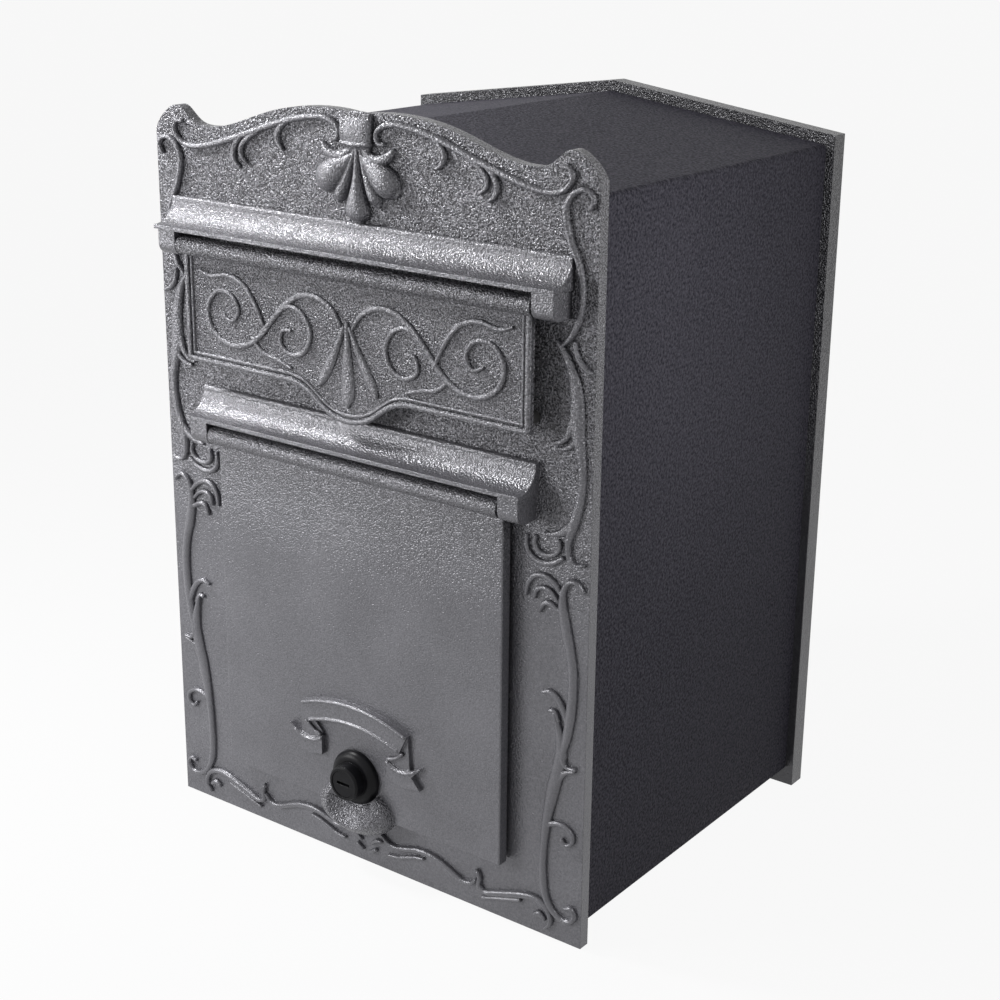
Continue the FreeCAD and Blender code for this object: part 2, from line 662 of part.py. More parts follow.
def posting_flap():
    """Cast leaf with a moulded edge and scrollwork, its lower edge an ogee, hung from a bored barrel."""
    back_y = front_y - flap_front_out + flap_thickness
    panel = Part.Face(flap_outline(0.0, back_y)).extrude(Vector(0, -flap_thickness, 0))
    bead_start = flap_rim_width + flap_groove
    mouldings = [
        flap_frame(0.0, flap_rim_width, flap_rim_height),
        flap_frame(bead_start, bead_start + flap_bead_width, flap_bead_height),
    ]
    leaf = united([panel, *mouldings, *flap_scrollwork(), hinge_barrel(flap_barrel_length, flap_axis_z)])
    bore = rod_x(pin_r + pin_play, (-flap_barrel_length, flap_barrel_length), hinge_y, flap_axis_z)
    return leaf.cut(bore)


# Collection door

def thumb_pull():
    """Curled lip below the lock, hollow above and round outside."""
    face_y = front_y - door_front_out
    centre_z = bottom_z + pull_height
    stretch = Matrix()
    stretch.scale(pull_half_width, pull_out, pull_half_height)
    bulb = Part.makeSphere(1.0).transformGeometry(stretch)
    bulb.translate(Vector(0, face_y, centre_z))
    front = block((-pull_half_width - over, pull_half_width + over),
                  (face_y - pull_out - over, face_y + pull_sink),
                  (centre_z - pull_half_height - over, centre_z + pull_half_height + over))
    scoop = Part.makeSphere(pull_scoop_r)
    scoop.translate(Vector(0, face_y - pull_scoop_out, centre_z + pull_scoop_rise))
    lock_room = rod_y(lock_flange_r + pull_lock_gap, (face_y - pull_out - over, face_y), 0, lock_z)
    return bulb.common(front).cut(scoop).cut(lock_room)


def banner():
    """Blank banner with a fold and a forked tail at each end, in low relief on the door."""
    face_y = front_y - door_front_out

    def corner(x, rise):
        return Vector(x, face_y + relief_sink, lock_z + rise)

    top = Part.Arc(corner(-banner_half_width, banner_end_top), corner(0, banner_top),
                   corner(banner_half_width, banner_end_top)).toShape()
    bottom = Part.Arc(corner(-banner_end_half_width, banner_end_bottom), corner(0, banner_bottom),
                      corner(banner_end_half_width, banner_end_bottom)).toShape()
    ends = both_sides(Part.makeLine(corner(banner_half_width, banner_end_top),
                                    corner(banner_end_half_width, banner_end_bottom)))
    outline = Part.Wire(Part.__sortEdges__([top, bottom, *ends]))
    shapes = [Part.Face(outline).extrude(Vector(0, -relief_sink - banner_rise, 0))]
    wide = banner_half_width / banner_drawing[0]
    high = banner_top / banner_drawing[1]
    for corners, rise in ((banner_fold, banner_fold_rise), (banner_tail, banner_tail_rise)):
        polygon = [(wide * x, lock_z + high * height) for x, height in corners]
        shapes += both_sides(prism_y(polygon, (face_y - rise, face_y + relief_sink)))
    return shapes


def double_flat_bar(radius, flat, y_range, z):
    """Round bar along Y with two flats above and below."""
    bar = rod_y(radius, y_range, 0, z)
    return bar.common(block((-radius, radius), y_range, (z - flat, z + flat)))


def collection_door():
    """Cast door hung from a bored barrel, with the thumb pull, the banner and the lock's hole."""
    front = front_y - door_front_out
    back = front + door_thickness
    half = door_width / 2
    panel = block((-half, half), (front, back), (bottom_z + door_bottom_height, door_axis_z + door_top_rise))

    def is_front(edge):
        return edge.CenterOfMass.y < front + over / 2

    panel = round_edges_along(panel, Vector(0, 0, 1), door_edge_round, is_front)
    barrel = hinge_barrel(door_barrel_length, door_axis_z)
    door = united([panel, barrel, thumb_pull(), *banner()])
    bore = rod_x(pin_r + pin_play, (-door_barrel_length, door_barrel_length), hinge_y, door_axis_z)
    lock_hole = double_flat_bar(lock_barrel_r + lock_hole_play, lock_flat + lock_hole_play,
                                (front - over, back + over), lock_z)
    return door.cut(bore).cut(lock_hole)


# Rubber buffers

def flap_buffers():
    """Two rubber studs on the plate that the posting flap rests on."""
    seat_out = flap_front_out - flap_thickness - buffer_seat_gap
    x = slot_width / 2 + flap_buffer_edge
    z = flap_axis_z - flap_side_drop + flap_buffer_rise
    stud = rod_y(buffer_r, (front_y - seat_out, front_y), x, z)
    return Part.makeCompound(both_sides(stud))


def door_buffers():
    """Four rubber pads on the plate that the collection door rests on."""
    seat_out = door_front_out - door_thickness - buffer_seat_gap
    x = door_opening_width / 2 + door_buffer_edge
    pads = []
    low, high = door_opening_z_range
    for z in (low + door_buffer_inset, high - door_buffer_inset):
        pads += both_sides(rod_y(buffer_r, (front_y - seat_out, front_y), x, z))
    return Part.makeCompound(pads)


# Cam lock

def lock_housing():
    """Turned body of the lock: domed flange, round head and threaded barrel with two flats."""
    seat = front_y - door_front_out
    head = front_y - lock_head_out
    rim = seat - lock_flange_edge
    shoulder = seat - lock_flange_rise
    swell = Vector(0, rim - lock_flange_rise * lock_flange_swell, lock_flange_r - lock_flange_swell_inset)
    points = [
        Vector(0, seat, 0), Vector(0, head, 0), Vector(0, head, lock_head_r - lock_head_chamfer),
        Vector(0, head + lock_head_chamfer, lock_head_r), Vector(0, shoulder, lock_head_r),
    ]
    edges = list(Part.makePolygon(points).Edges)
    edges.append(Part.Arc(points[-1], swell, Vector(0, rim, lock_flange_r)).toShape())
    edges += Part.makePolygon([Vector(0, rim, lock_flange_r), Vector(0, seat, lock_flange_r), points[0]]).Edges
    turned = Part.Face(Part.Wire(edges)).revolve(Vector(0, 0, 0), Vector(0, 1, 0), 360)
    turned.translate(Vector(0, 0, lock_z))
    barrel = double_flat_bar(lock_barrel_r, lock_flat, (seat, cam_front_y), lock_z)
    face_bore = rod_y(plug_face_r + plug_play, (head - over, head + plug_face_depth), 0, lock_z)
    shaft_bore = rod_y(plug_shaft_r + plug_play, (head, cam_front_y + over), 0, lock_z)
    return united([turned, barrel]).cut(face_bore).cut(shaft_bore)


def lock_nut():
    """Hexagonal nut that draws the lock against the door."""
    seat = front_y - door_front_out + door_thickness
    span = (seat, seat + nut_thickness)
    nut = hexagon_y(nut_across_flats, span, 0, lock_z)
    return nut.cut(rod_y(lock_barrel_r + screw_play, (span[0] - over, span[1] + over), 0, lock_z))


def lock_plug():
    """Turning core of the lock, with the key slot in its face and a square drive behind."""
    head = front_y - lock_head_out + plug_recess
    shoulder = front_y - lock_head_out + plug_face_depth - plug_play
    face = rod_y(plug_face_r, (head, shoulder), 0, lock_z)
    shaft = rod_y(plug_shaft_r, (head, cam_front_y), 0, lock_z)
    half = drive_square / 2
    drive_end = cam_front_y + cam_thickness
    drive = block((-half, half), (cam_front_y - over, drive_end), (lock_z - half, lock_z + half))
    slot = block((-key_slot_length / 2, key_slot_length / 2), (head - over, head + key_slot_depth),
                 (lock_z - key_slot_width / 2, lock_z + key_slot_width / 2))
    tapped = rod_y(cam_bolt_r + screw_play, (cam_bolt_tip() - blind_end, drive_end + over), 0, lock_z)
    return united([face, shaft, drive]).cut(slot).cut(tapped)


def cam_bolt_tip():
    """Y of the inner end of the cam's bolt."""
    return cam_front_y + cam_thickness + cam_washer_thickness - cam_bolt_length


def lock_cam():
    """Flat steel arm, shown turned sideways, as it is with the door unlocked."""
    span = (cam_front_y, cam_front_y + cam_thickness)
    eye = rod_y(cam_eye_r, span, 0, lock_z)
    arm = block((0, cam_reach), span, (lock_z - cam_width / 2, lock_z + cam_width / 2))

    def is_tip(edge):
        return edge.CenterOfMass.x > cam_reach / 2

    arm = round_edges_along(arm, Vector(0, 1, 0), cam_width / 4, is_tip)
    half = drive_square / 2 + screw_play
    square = block((-half, half), (span[0] - over, span[1] + over), (lock_z - half, lock_z + half))
    return united([eye, arm]).cut(square)


def cam_washer():
    """Plain washer between the cam and its bolt."""
    start = cam_front_y + cam_thickness
    end = start + cam_washer_thickness
    ring = rod_y(cam_washer_r, (start, end), 0, lock_z)
    return ring.cut(rod_y(cam_bolt_r + screw_clearance, (start - over, end + over), 0, lock_z))


def cam_bolt():
    """Hexagon bolt that holds the cam on the plug."""
    seat = cam_front_y + cam_thickness + cam_washer_thickness
    shank = rod_y(cam_bolt_r, (cam_bolt_tip(), seat), 0, lock_z)
    head = hexagon_y(cam_bolt_across_flats, (seat, seat + cam_bolt_head), 0, lock_z)
    return united([shank, head])


# Body

def house(inset, low_z):
    """Corners of the body's gabled section, drawn in by a margin at the walls and the roof."""
    side = body_half_width - inset
    peak = ridge_z - inset / math.cos(roof_slope)
    eaves = peak - side * math.tan(roof_slope)
    return [(-side, low_z), (-side, eaves), (0.0, peak), (side, eaves), (side, low_z)]


def shell_flange(y_range):
    """Flange turned inwards round the walls and the roof at one end of the body."""
    low = bottom_z + body_bottom_height + floor_flange + fold_gap
    outer = prism_y(house(sheet / 2, low), y_range)
    inner = prism_y(house(flange_width, low - over), (y_range[0] - over, y_range[1] + over))
    return outer.cut(inner)


def body_screw_places():
    """Places of the screws that join the body to a casting, the same at both ends."""
    side_x = body_half_width - screw_edge
    roof_z = ridge_z - roof_screw_x * math.tan(roof_slope) - screw_edge / math.cos(roof_slope)
    floor_z = bottom_z + body_bottom_height + screw_edge
    side_low = bottom_z + side_screw_low_height
    side_high = eaves_z - side_screw_drop
    right = [(side_x, z) for z in (side_low, (side_low + side_high) / 2, side_high)]
    right += [(roof_screw_x, roof_z), (floor_screw_x, floor_z)]
    return right + [(-x, z) for x, z in right]


def screw_holes(y_range):
    """Clearance holes for the body screws."""
    return Part.makeCompound([rod_y(screw_r + screw_clearance, y_range, x, z) for x, z in body_screw_places()])


def body_shell():
    """Walls and roof folded from one sheet, with flanges for the two castings."""
    low = bottom_z + body_bottom_height
    span = (body_front_y, body_back_y)
    outer = prism_y(house(0.0, low), span)
    inner = prism_y(house(sheet, low - over), (span[0] - over, span[1] + over))

    def is_fold(edge):
        return edge.CenterOfMass.z > low + over

    outer = round_edges_along(outer, Vector(0, 1, 0), fold_radius, is_fold)
    inner = round_edges_along(inner, Vector(0, 1, 0), fold_radius - sheet, is_fold)
    tube = outer.cut(inner)
    flanges = [shell_flange((span[0], span[0] + sheet)), shell_flange((span[1] - sheet, span[1]))]
    flanges = [flange.common(outer) for flange in flanges]
    return united([tube, *flanges]).cut(screw_holes((span[0] - over, span[1] + over)))


def body_floor():
    """Floor tray welded between the walls, its four edges folded up."""
    low = bottom_z + body_bottom_height
    half = body_half_width - sheet
    front, back = body_front_y, body_back_y
    base = block((-half, half), (front, back), (low, low + sheet))
    notch = sheet + fold_gap
    side = block((half - sheet, half), (front + notch, back - notch), (low, low + floor_flange))
    end_half = half - notch
    end_span = (low, low + floor_flange)
    ends = [
        block((-end_half, end_half), (front, front + sheet), end_span),
        block((-end_half, end_half), (back - sheet, back), end_span),
    ]
    tray = united([base, *both_sides(side), *ends])
    return tray.cut(screw_holes((front - over, back + over)))


def body_screws(face_y, inward):
    """Screws at one end of the body, with their heads towards +Y for inward 1 and -Y for -1."""
    under_head = face_y + inward * sheet
    tip = face_y - inward * screw_bite
    top = under_head + inward * screw_head_height
    screws = []
    for x, z in body_screw_places():
        shank = rod_y(screw_r, sorted((tip, under_head)), x, z)
        head = rod_y(screw_head_r, sorted((under_head, top)), x, z)
        screws.append(united([shank, head]))
    return Part.makeCompound(screws)


# Back plate

def back_outline(inset):
    """Corners of the gabled back plate, drawn in by a margin."""
    side = body_half_width + back_plate_margin - inset
    peak = ridge_z + back_plate_top_margin - inset
    eaves = peak - side * math.tan(roof_slope)
    low = bottom_z + inset
    return [(-side, low), (-side, eaves), (0.0, peak), (side, eaves), (side, low)]


def wall_screw_places():
    """Places of the four wall screws."""
    x = wall_screw_spacing_x / 2
    z = wall_screw_spacing_z / 2
    return [(-x, -z), (x, -z), (-x, z), (x, z)]


def back_plate():
    """Cast tray against the wall: thin web, deep rim, ribs, and bosses for the screws."""
    pocket_front = body_back_y + back_web
    plate = prism_y(back_outline(0.0), (body_back_y, 0.0))
    pocket = prism_y(back_outline(back_rim), (pocket_front, over))
    behind = (pocket_front - over, 0.0)
    boss_end = body_back_y + screw_bite + back_boss_floor
    half = body_half_width
    low = bottom_z + back_rim / 2
    rib_half = rib_thickness / 2
    kept = [block((-rib_half, rib_half), behind, (low, ridge_z))]
    for z in (-wall_screw_spacing_z / 2, wall_screw_spacing_z / 2):
        kept.append(block((-half, half), behind, (z - rib_half, z + rib_half)))
    kept += [rod_y(wall_boss_r, behind, x, z) for x, z in wall_screw_places()]
    kept += [rod_y(screw_boss_r, (behind[0], boss_end), x, z) for x, z in body_screw_places()]
    hollow = pocket.cut(Part.makeCompound(kept))
    cuts = [rod_y(wall_screw_hole_r, (body_back_y - over, over), x, z) for x, z in wall_screw_places()]
    blind = (body_back_y - over, body_back_y + screw_bite + blind_end)
    cuts += [rod_y(screw_r + screw_play, blind, x, z) for x, z in body_screw_places()]
    return plate.cut(hollow).cut(Part.makeCompound(cuts))


nodes = {
    "front_plate": front_plate(),
    "upper_hood": hood(flap_barrel_length, flap_axis_z),
    "lower_hood": hood(door_barrel_length, door_axis_z),
    "upper_hood_screws": hood_screws(flap_barrel_length, flap_axis_z),
    "lower_hood_screws": hood_screws(door_barrel_length, door_axis_z),
    "posting_flap": posting_flap(),
    "flap_pin": hinge_pin(flap_barrel_length, flap_axis_z),
    "flap_buffers": flap_buffers(),
    "collection_door": collection_door(),
    "door_pin": hinge_pin(door_barrel_length, door_axis_z),
    "door_buffers": door_buffers(),
    "lock_housing": lock_housing(),
    "lock_nut": lock_nut(),
    "lock_plug": lock_plug(),
    "lock_cam": lock_cam(),
    "cam_washer": cam_washer(),
    "cam_bolt": cam_bolt(),
    "body_shell": body_shell(),
    "body_floor": body_floor(),
    "front_screws": body_screws(body_front_y, 1),
    "back_screws": body_screws(body_back_y, -1),
    "back_plate": back_plate(),
}

os.makedirs("parts", exist_ok=True)
for name, shape in nodes.items():
    shape.exportStep(f"parts/{name}.step")
    print(name, "solids", len(shape.Solids), "valid", shape.isValid(), "volume", round(shape.Volume))
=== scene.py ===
import math

import bpy
import numpy as np
from mathutils import Matrix, Vector


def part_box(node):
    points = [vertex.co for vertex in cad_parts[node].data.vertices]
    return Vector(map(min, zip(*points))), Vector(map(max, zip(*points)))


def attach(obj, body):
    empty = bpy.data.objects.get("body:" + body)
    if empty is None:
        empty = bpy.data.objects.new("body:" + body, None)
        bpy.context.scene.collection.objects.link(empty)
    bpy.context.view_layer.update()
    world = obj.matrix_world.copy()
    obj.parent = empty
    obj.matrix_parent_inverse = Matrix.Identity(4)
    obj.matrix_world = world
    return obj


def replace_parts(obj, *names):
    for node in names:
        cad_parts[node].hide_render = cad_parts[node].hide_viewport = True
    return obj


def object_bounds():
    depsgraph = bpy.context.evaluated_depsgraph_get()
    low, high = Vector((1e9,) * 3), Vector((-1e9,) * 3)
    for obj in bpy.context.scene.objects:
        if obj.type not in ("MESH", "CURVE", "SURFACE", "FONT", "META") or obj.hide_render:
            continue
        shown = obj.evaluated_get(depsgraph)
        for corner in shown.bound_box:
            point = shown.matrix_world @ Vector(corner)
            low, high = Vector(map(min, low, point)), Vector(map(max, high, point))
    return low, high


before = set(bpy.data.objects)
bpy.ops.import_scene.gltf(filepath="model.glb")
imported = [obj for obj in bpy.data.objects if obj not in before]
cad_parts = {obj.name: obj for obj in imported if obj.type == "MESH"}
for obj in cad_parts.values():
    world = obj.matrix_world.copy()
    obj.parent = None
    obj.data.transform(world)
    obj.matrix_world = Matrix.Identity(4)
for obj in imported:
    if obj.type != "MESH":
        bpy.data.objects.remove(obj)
cad_box = [list(corner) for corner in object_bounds()]
scene = bpy.context.scene
scene.view_settings.view_transform = "Standard"

# Studio
# A large pale floor that the box stands on while it is looked at. A small soft lamp rakes the
# front from over its left shoulder, a broad one lights it from the left, and a faint one the side.

low_corner = cad_box[0]
front_of_box = low_corner[1]
floor_level = low_corner[2]
floor_radius = 40.0
floor_rings = [0.02, 0.1, 0.4, 1.0]
floor_sides = 64
paper_colour = (0.62, 0.62, 0.63)
paper_paleness = 0.93
dim_air = (0.03, 0.03, 0.032)
pale_air = (0.95, 0.95, 0.95)

# Name, place, target, side in metres and power in watts of each lamp
lamps = [
    ("lamp_over_left", (-0.40, -0.34, 0.41), (0, front_of_box, 0.1), 0.1, 3.4),
    ("lamp_front_left", (-0.48, -0.70, 0.12), (0, front_of_box, -0.03), 0.3, 3.4),
    ("lamp_right", (0.36, -0.20, 0.17), (0.13, -0.1, 0.08), 0.14, 0.37),
]


def floor_disc():
    """Round flat plate: rings of growing radius, each a full turn of points at floor level."""
    turns = np.linspace(0, 2 * np.pi, floor_sides, endpoint=False)
    radii = floor_radius * np.array(floor_rings)
    x = np.outer(radii, np.cos(turns)).ravel()
    y = np.outer(radii, np.sin(turns)).ravel()
    corners = np.column_stack([x, y, np.full_like(x, floor_level)])
    first = np.arange(floor_sides)
    second = np.roll(first, -1)
    faces = [first.tolist()]
    for ring in range(len(radii) - 1):
        near, far = ring * floor_sides, (ring + 1) * floor_sides
        faces += np.column_stack([near + first, far + first, far + second, near + second]).tolist()
    mesh = bpy.data.meshes.new("studio_floor")
    mesh.from_pydata(corners.tolist(), [], faces)
    floor = bpy.data.objects.new("studio_floor", mesh)
    scene.collection.objects.link(floor)
    return floor


class Field:
    """A value that varies over a surface, held by a node socket.

    Arithmetic between fields and numbers adds the Math nodes that work it out.
    """

    def __init__(self, socket):
        self.socket = socket

    @classmethod
    def node(cls, tree, kind, settings=None, inputs=None, output=0):
        """Add a node: its settings first, then the values or links of its sockets."""
        made = tree.nodes.new(kind)
        for name, value in (settings or {}).items():
            setattr(made, name, value)
        for name, value in (inputs or {}).items():
            if isinstance(value, Field):
                tree.links.new(value.socket, made.inputs[name])
            else:
                made.inputs[name].default_value = value
        return cls(made.outputs[output])

    def maths(self, operation, first, second):
        """What a Math node makes of two fields or numbers."""
        settings = {"operation": operation}
        return Field.node(self.socket.id_data, "ShaderNodeMath", settings, {0: first, 1: second})

    def __add__(self, other):
        return self.maths("ADD", self, other)

    def __radd__(self, other):
        return self.maths("ADD", other, self)

    def __sub__(self, other):
        return self.maths("SUBTRACT", self, other)

    def __rsub__(self, other):
        return self.maths("SUBTRACT", other, self)

    def __mul__(self, other):
        return self.maths("MULTIPLY", self, other)

    def __rmul__(self, other):
        return self.maths("MULTIPLY", other, self)

    def limited(self):
        """The value held between 0 and 1."""
        return self.maths("MINIMUM", self.maths("MAXIMUM", self, 0.0), 1.0)


def seen_rays(tree):
    """1 for a ray that the camera, a reflection or a clear piece sees, 0 for one that lights."""
    camera_ray = Field.node(tree, "ShaderNodeLightPath", output="Is Camera Ray")
    rays = camera_ray.socket.node.outputs
    return (camera_ray + Field(rays["Is Glossy Ray"]) + Field(rays["Is Transmission Ray"])).limited()


def new_finish(name):
    """A new material, its node tree and its shader."""
    material = bpy.data.materials.new(name)
    material.use_nodes = True
    return material, material.node_tree, material.node_tree.nodes["Principled BSDF"]


def floor_finish():
    """Matt pale floor that the camera and reflections see nearly white, shadows included."""
    material, tree, paper = new_finish("studio_floor_paper")
    paper.inputs["Base Color"].default_value = (*paper_colour, 1)
    paper.inputs["Roughness"].default_value = 0.9
    paper.inputs["Specular IOR Level"].default_value = 0.1
    glow = Field.node(tree, "ShaderNodeEmission", {}, {"Color": (1, 1, 1, 1), "Strength": 1.0})
    mixed = Field.node(tree, "ShaderNodeMixShader", {}, {
        "Fac": seen_rays(tree) * paper_paleness, 1: Field(paper.outputs[0]), 2: glow})
    tree.links.new(mixed.socket, tree.nodes["Material Output"].inputs["Surface"])
    return material


def soft_lamp(name, place, target, side, power):
    """Square lamp at a place, facing a target."""
    light = bpy.data.lights.new(name, "AREA")
    light.shape = "SQUARE"
    light.size = side
    light.energy = power
    lamp = bpy.data.objects.new(name, light)
    lamp.location = place
    lamp.rotation_euler = (Vector(target) - Vector(place)).to_track_quat("-Z", "Y").to_euler()
    lamp.visible_camera = False
    scene.collection.objects.link(lamp)


def studio_air():
    """World that lights faintly from all round, and shows as pale as the floor."""
    world = bpy.data.worlds.new("studio_air")
    world.use_nodes = True
    tree = world.node_tree
    dim = tree.nodes["Background"]
    dim.inputs["Color"].default_value = (*dim_air, 1)
    pale = Field.node(tree, "ShaderNodeBackground", {}, {"Color": (*pale_air, 1)})
    mixed = Field.node(tree, "ShaderNodeMixShader", {}, {
        "Fac": seen_rays(tree), 1: Field(dim.outputs[0]), 2: pale})
    tree.links.new(mixed.socket, tree.nodes["World Output"].inputs["Surface"])
    return world


floor = floor_disc()
floor.data.materials.append(floor_finish())
for lamp in lamps:
    soft_lamp(*lamp)
scene.world = studio_air()

# Camera
# It stands to the right of the front and a little above it, as the photograph was taken.

camera_place = Vector((0.53387, -0.82461, 0.28744))
camera_yaw = 0.636
camera_pitch = 0.316
camera_roll = 0.0122
camera_lens = 64.95
camera_shift = (-0.0061, -0.0281)


def photograph_camera():
    """Camera turned by yaw about the vertical, tipped down by pitch, then rolled on its axis."""
    ahead = Vector((-math.sin(camera_yaw) * math.cos(camera_pitch),
                    math.cos(camera_yaw) * math.cos(camera_pitch), -math.sin(camera_pitch)))
    level = ahead.cross(Vector((0, 0, 1))).normalized()
    upright = level.cross(ahead)
    across = level * math.cos(camera_roll) + upright * math.sin(camera_roll)
    up = upright * math.cos(camera_roll) - level * math.sin(camera_roll)
    lens = bpy.data.cameras.new("photograph_camera")
    lens.lens = camera_lens
    lens.sensor_width = 36.0
    lens.shift_x, lens.shift_y = camera_shift
    lens.clip_end = 2 * floor_radius
    camera = bpy.data.objects.new("photograph_camera", lens)
    turn = Matrix((across, up, -ahead)).transposed().to_4x4()
    camera.matrix_world = Matrix.Translation(camera_place) @ turn
    scene.collection.objects.link(camera)
    return camera


scene.camera = photograph_camera()

# Front plate
# One aluminium casting with scrolls, leaves and a palmette in relief, coated in hammered enamel.
# The relief is cast with the plate, its ridges rounded by the thickness of the enamel.

mm = 0.001
plate_low, plate_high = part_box("front_plate")
plate_back_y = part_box("body_shell")[0][1] / mm
plate_thickness = 6.0
front_y = plate_back_y - plate_thickness
bottom_z = plate_low[2] / mm
relief_drawing = (260.0, 375.6)
relief_sink = 0.5
relief_gap = 0.5
enamel_coat = 0.25
enamel_dark = (0.036, 0.035, 0.041)
enamel_light = (0.250, 0.248, 0.270)
# Height in metres where the hammer texture starts to grow, with the painted shade it carries in the enamel's
# colour, and its growth per metre
grain_and_painted_shade_start = -0.03
grain_and_painted_shade_growth = 9.0
curve_steps = 16
tip_rows = 6
tip_width = 0.04
ridge_spacing = 0.7
ridge_columns = 13
ridge_tip = 1.2
band_rise = 2.0
band_fullness = 0.7
tendril_rise = 1.7
tendril_fullness = 0.55
lobe_fullness = 0.8
strap_fullness = 0.28
roll_fullness = 0.6

# Stations of the right half as (x, height, foot width)
bands = [
    # Long scroll under the top edge, curled at both ends
    [(15.4, 362, 1.8), (12.2, 362.4, 2.0), (11, 366, 2.2), (13.8, 369.3, 2.4), (20.5, 371.2, 2.6),
     (31, 370.4, 2.8), (46, 367, 2.8), (61, 362.1, 2.8), (76.5, 357, 2.8), (91.5, 352.6, 2.8),
     (101.5, 350.7, 2.6), (108.5, 350.9, 2.4), (113.8, 353.4, 2.2), (116.5, 357.8, 2.0), (115, 361.6, 1.8),
     (111.3, 361.8, 1.6)],
    # Scroll at the top of the side
    [(125.5, 346, 1.6), (127.2, 349.5, 1.8), (125.3, 352.8, 2.0), (121, 353.4, 2.2), (116.2, 350.5, 2.6),
     (113.7, 345.5, 2.8), (113.8, 340, 3.0), (116.4, 331, 3.0), (120.6, 322.5, 3.0), (122.6, 312, 3.0),
     (121.8, 301, 2.8), (118, 292, 2.2), (113.5, 287, 1.4)],
    # Broad leaf beside the slot, running down into a long band
    [(110.8, 288.3, 1.4), (115.3, 283, 3.0), (118.8, 275, 5.0), (120.8, 266, 6.6), (121.3, 257, 7.6),
     (121.8, 250, 7.0), (123.2, 243, 5.2), (124.6, 235, 3.8), (124.8, 226, 3.6), (123.2, 216, 4.2),
     (120.6, 208, 4.8), (118.6, 200.5, 3.4), (118.6, 194.5, 2.4), (120.6, 190.8, 2.0), (124, 190, 1.8),
     (127, 191, 1.2)],
    # Band beside the middle of the door
    [(127, 178.3, 1.2), (123.8, 181.6, 2.0), (120, 181.4, 2.2), (117, 177.5, 2.6), (116, 171, 3.6),
     (116.8, 164, 5.2), (118.6, 156, 5.4), (120.8, 148, 4.6), (122.2, 139, 4.6), (122.4, 128, 4.6),
     (121.6, 117, 4.8), (120, 106, 4.2), (118.2, 97, 2.8), (119.8, 91.8, 1.8), (125, 91.6, 1.2)],
    # Band down to the corner, ending in a curl
    [(113.4, 116, 1.4), (115.8, 108, 3.8), (117, 98, 6.2), (115.4, 88, 6.8), (113.2, 79, 6.8),
     (111.2, 69, 5.8), (109.6, 59, 4.6), (108.6, 49, 3.8), (108.2, 38, 3.6), (108.8, 27, 3.8),
     (110.8, 20, 3.4), (114.6, 14.8, 2.8), (119.4, 12.2, 2.6), (124.2, 12.6, 2.4), (126.6, 16, 2.2),
     (124.9, 19.6, 2.0), (121.8, 19, 1.6)],
    # Wave along the bottom edge, from the corner to the pull
    [(110.5, 4.4, 1.4), (113, 7.4, 2.0), (113, 11.4, 2.4), (110.4, 15.4, 2.8), (105.6, 17.6, 3.2),
     (99.5, 17.6, 3.4), (90, 14.8, 3.6), (80, 11.6, 3.2), (74.6, 10.4, 2.6), (71.2, 12.4, 2.4),
     (71.4, 17, 2.2), (69.8, 21.4, 1.6)],
    [(69.2, 15.2, 1.4), (66.6, 12.4, 2.2), (62, 11.5, 2.6), (57.6, 12.6, 3.0), (52, 15, 3.2), (45, 17.4, 3.2),
     (38, 18.4, 3.2), (32, 18, 3.0), (26, 16.4, 2.8), (20, 15, 2.6), (14.5, 15.6, 2.2), (10.6, 18.6, 1.4)],
]
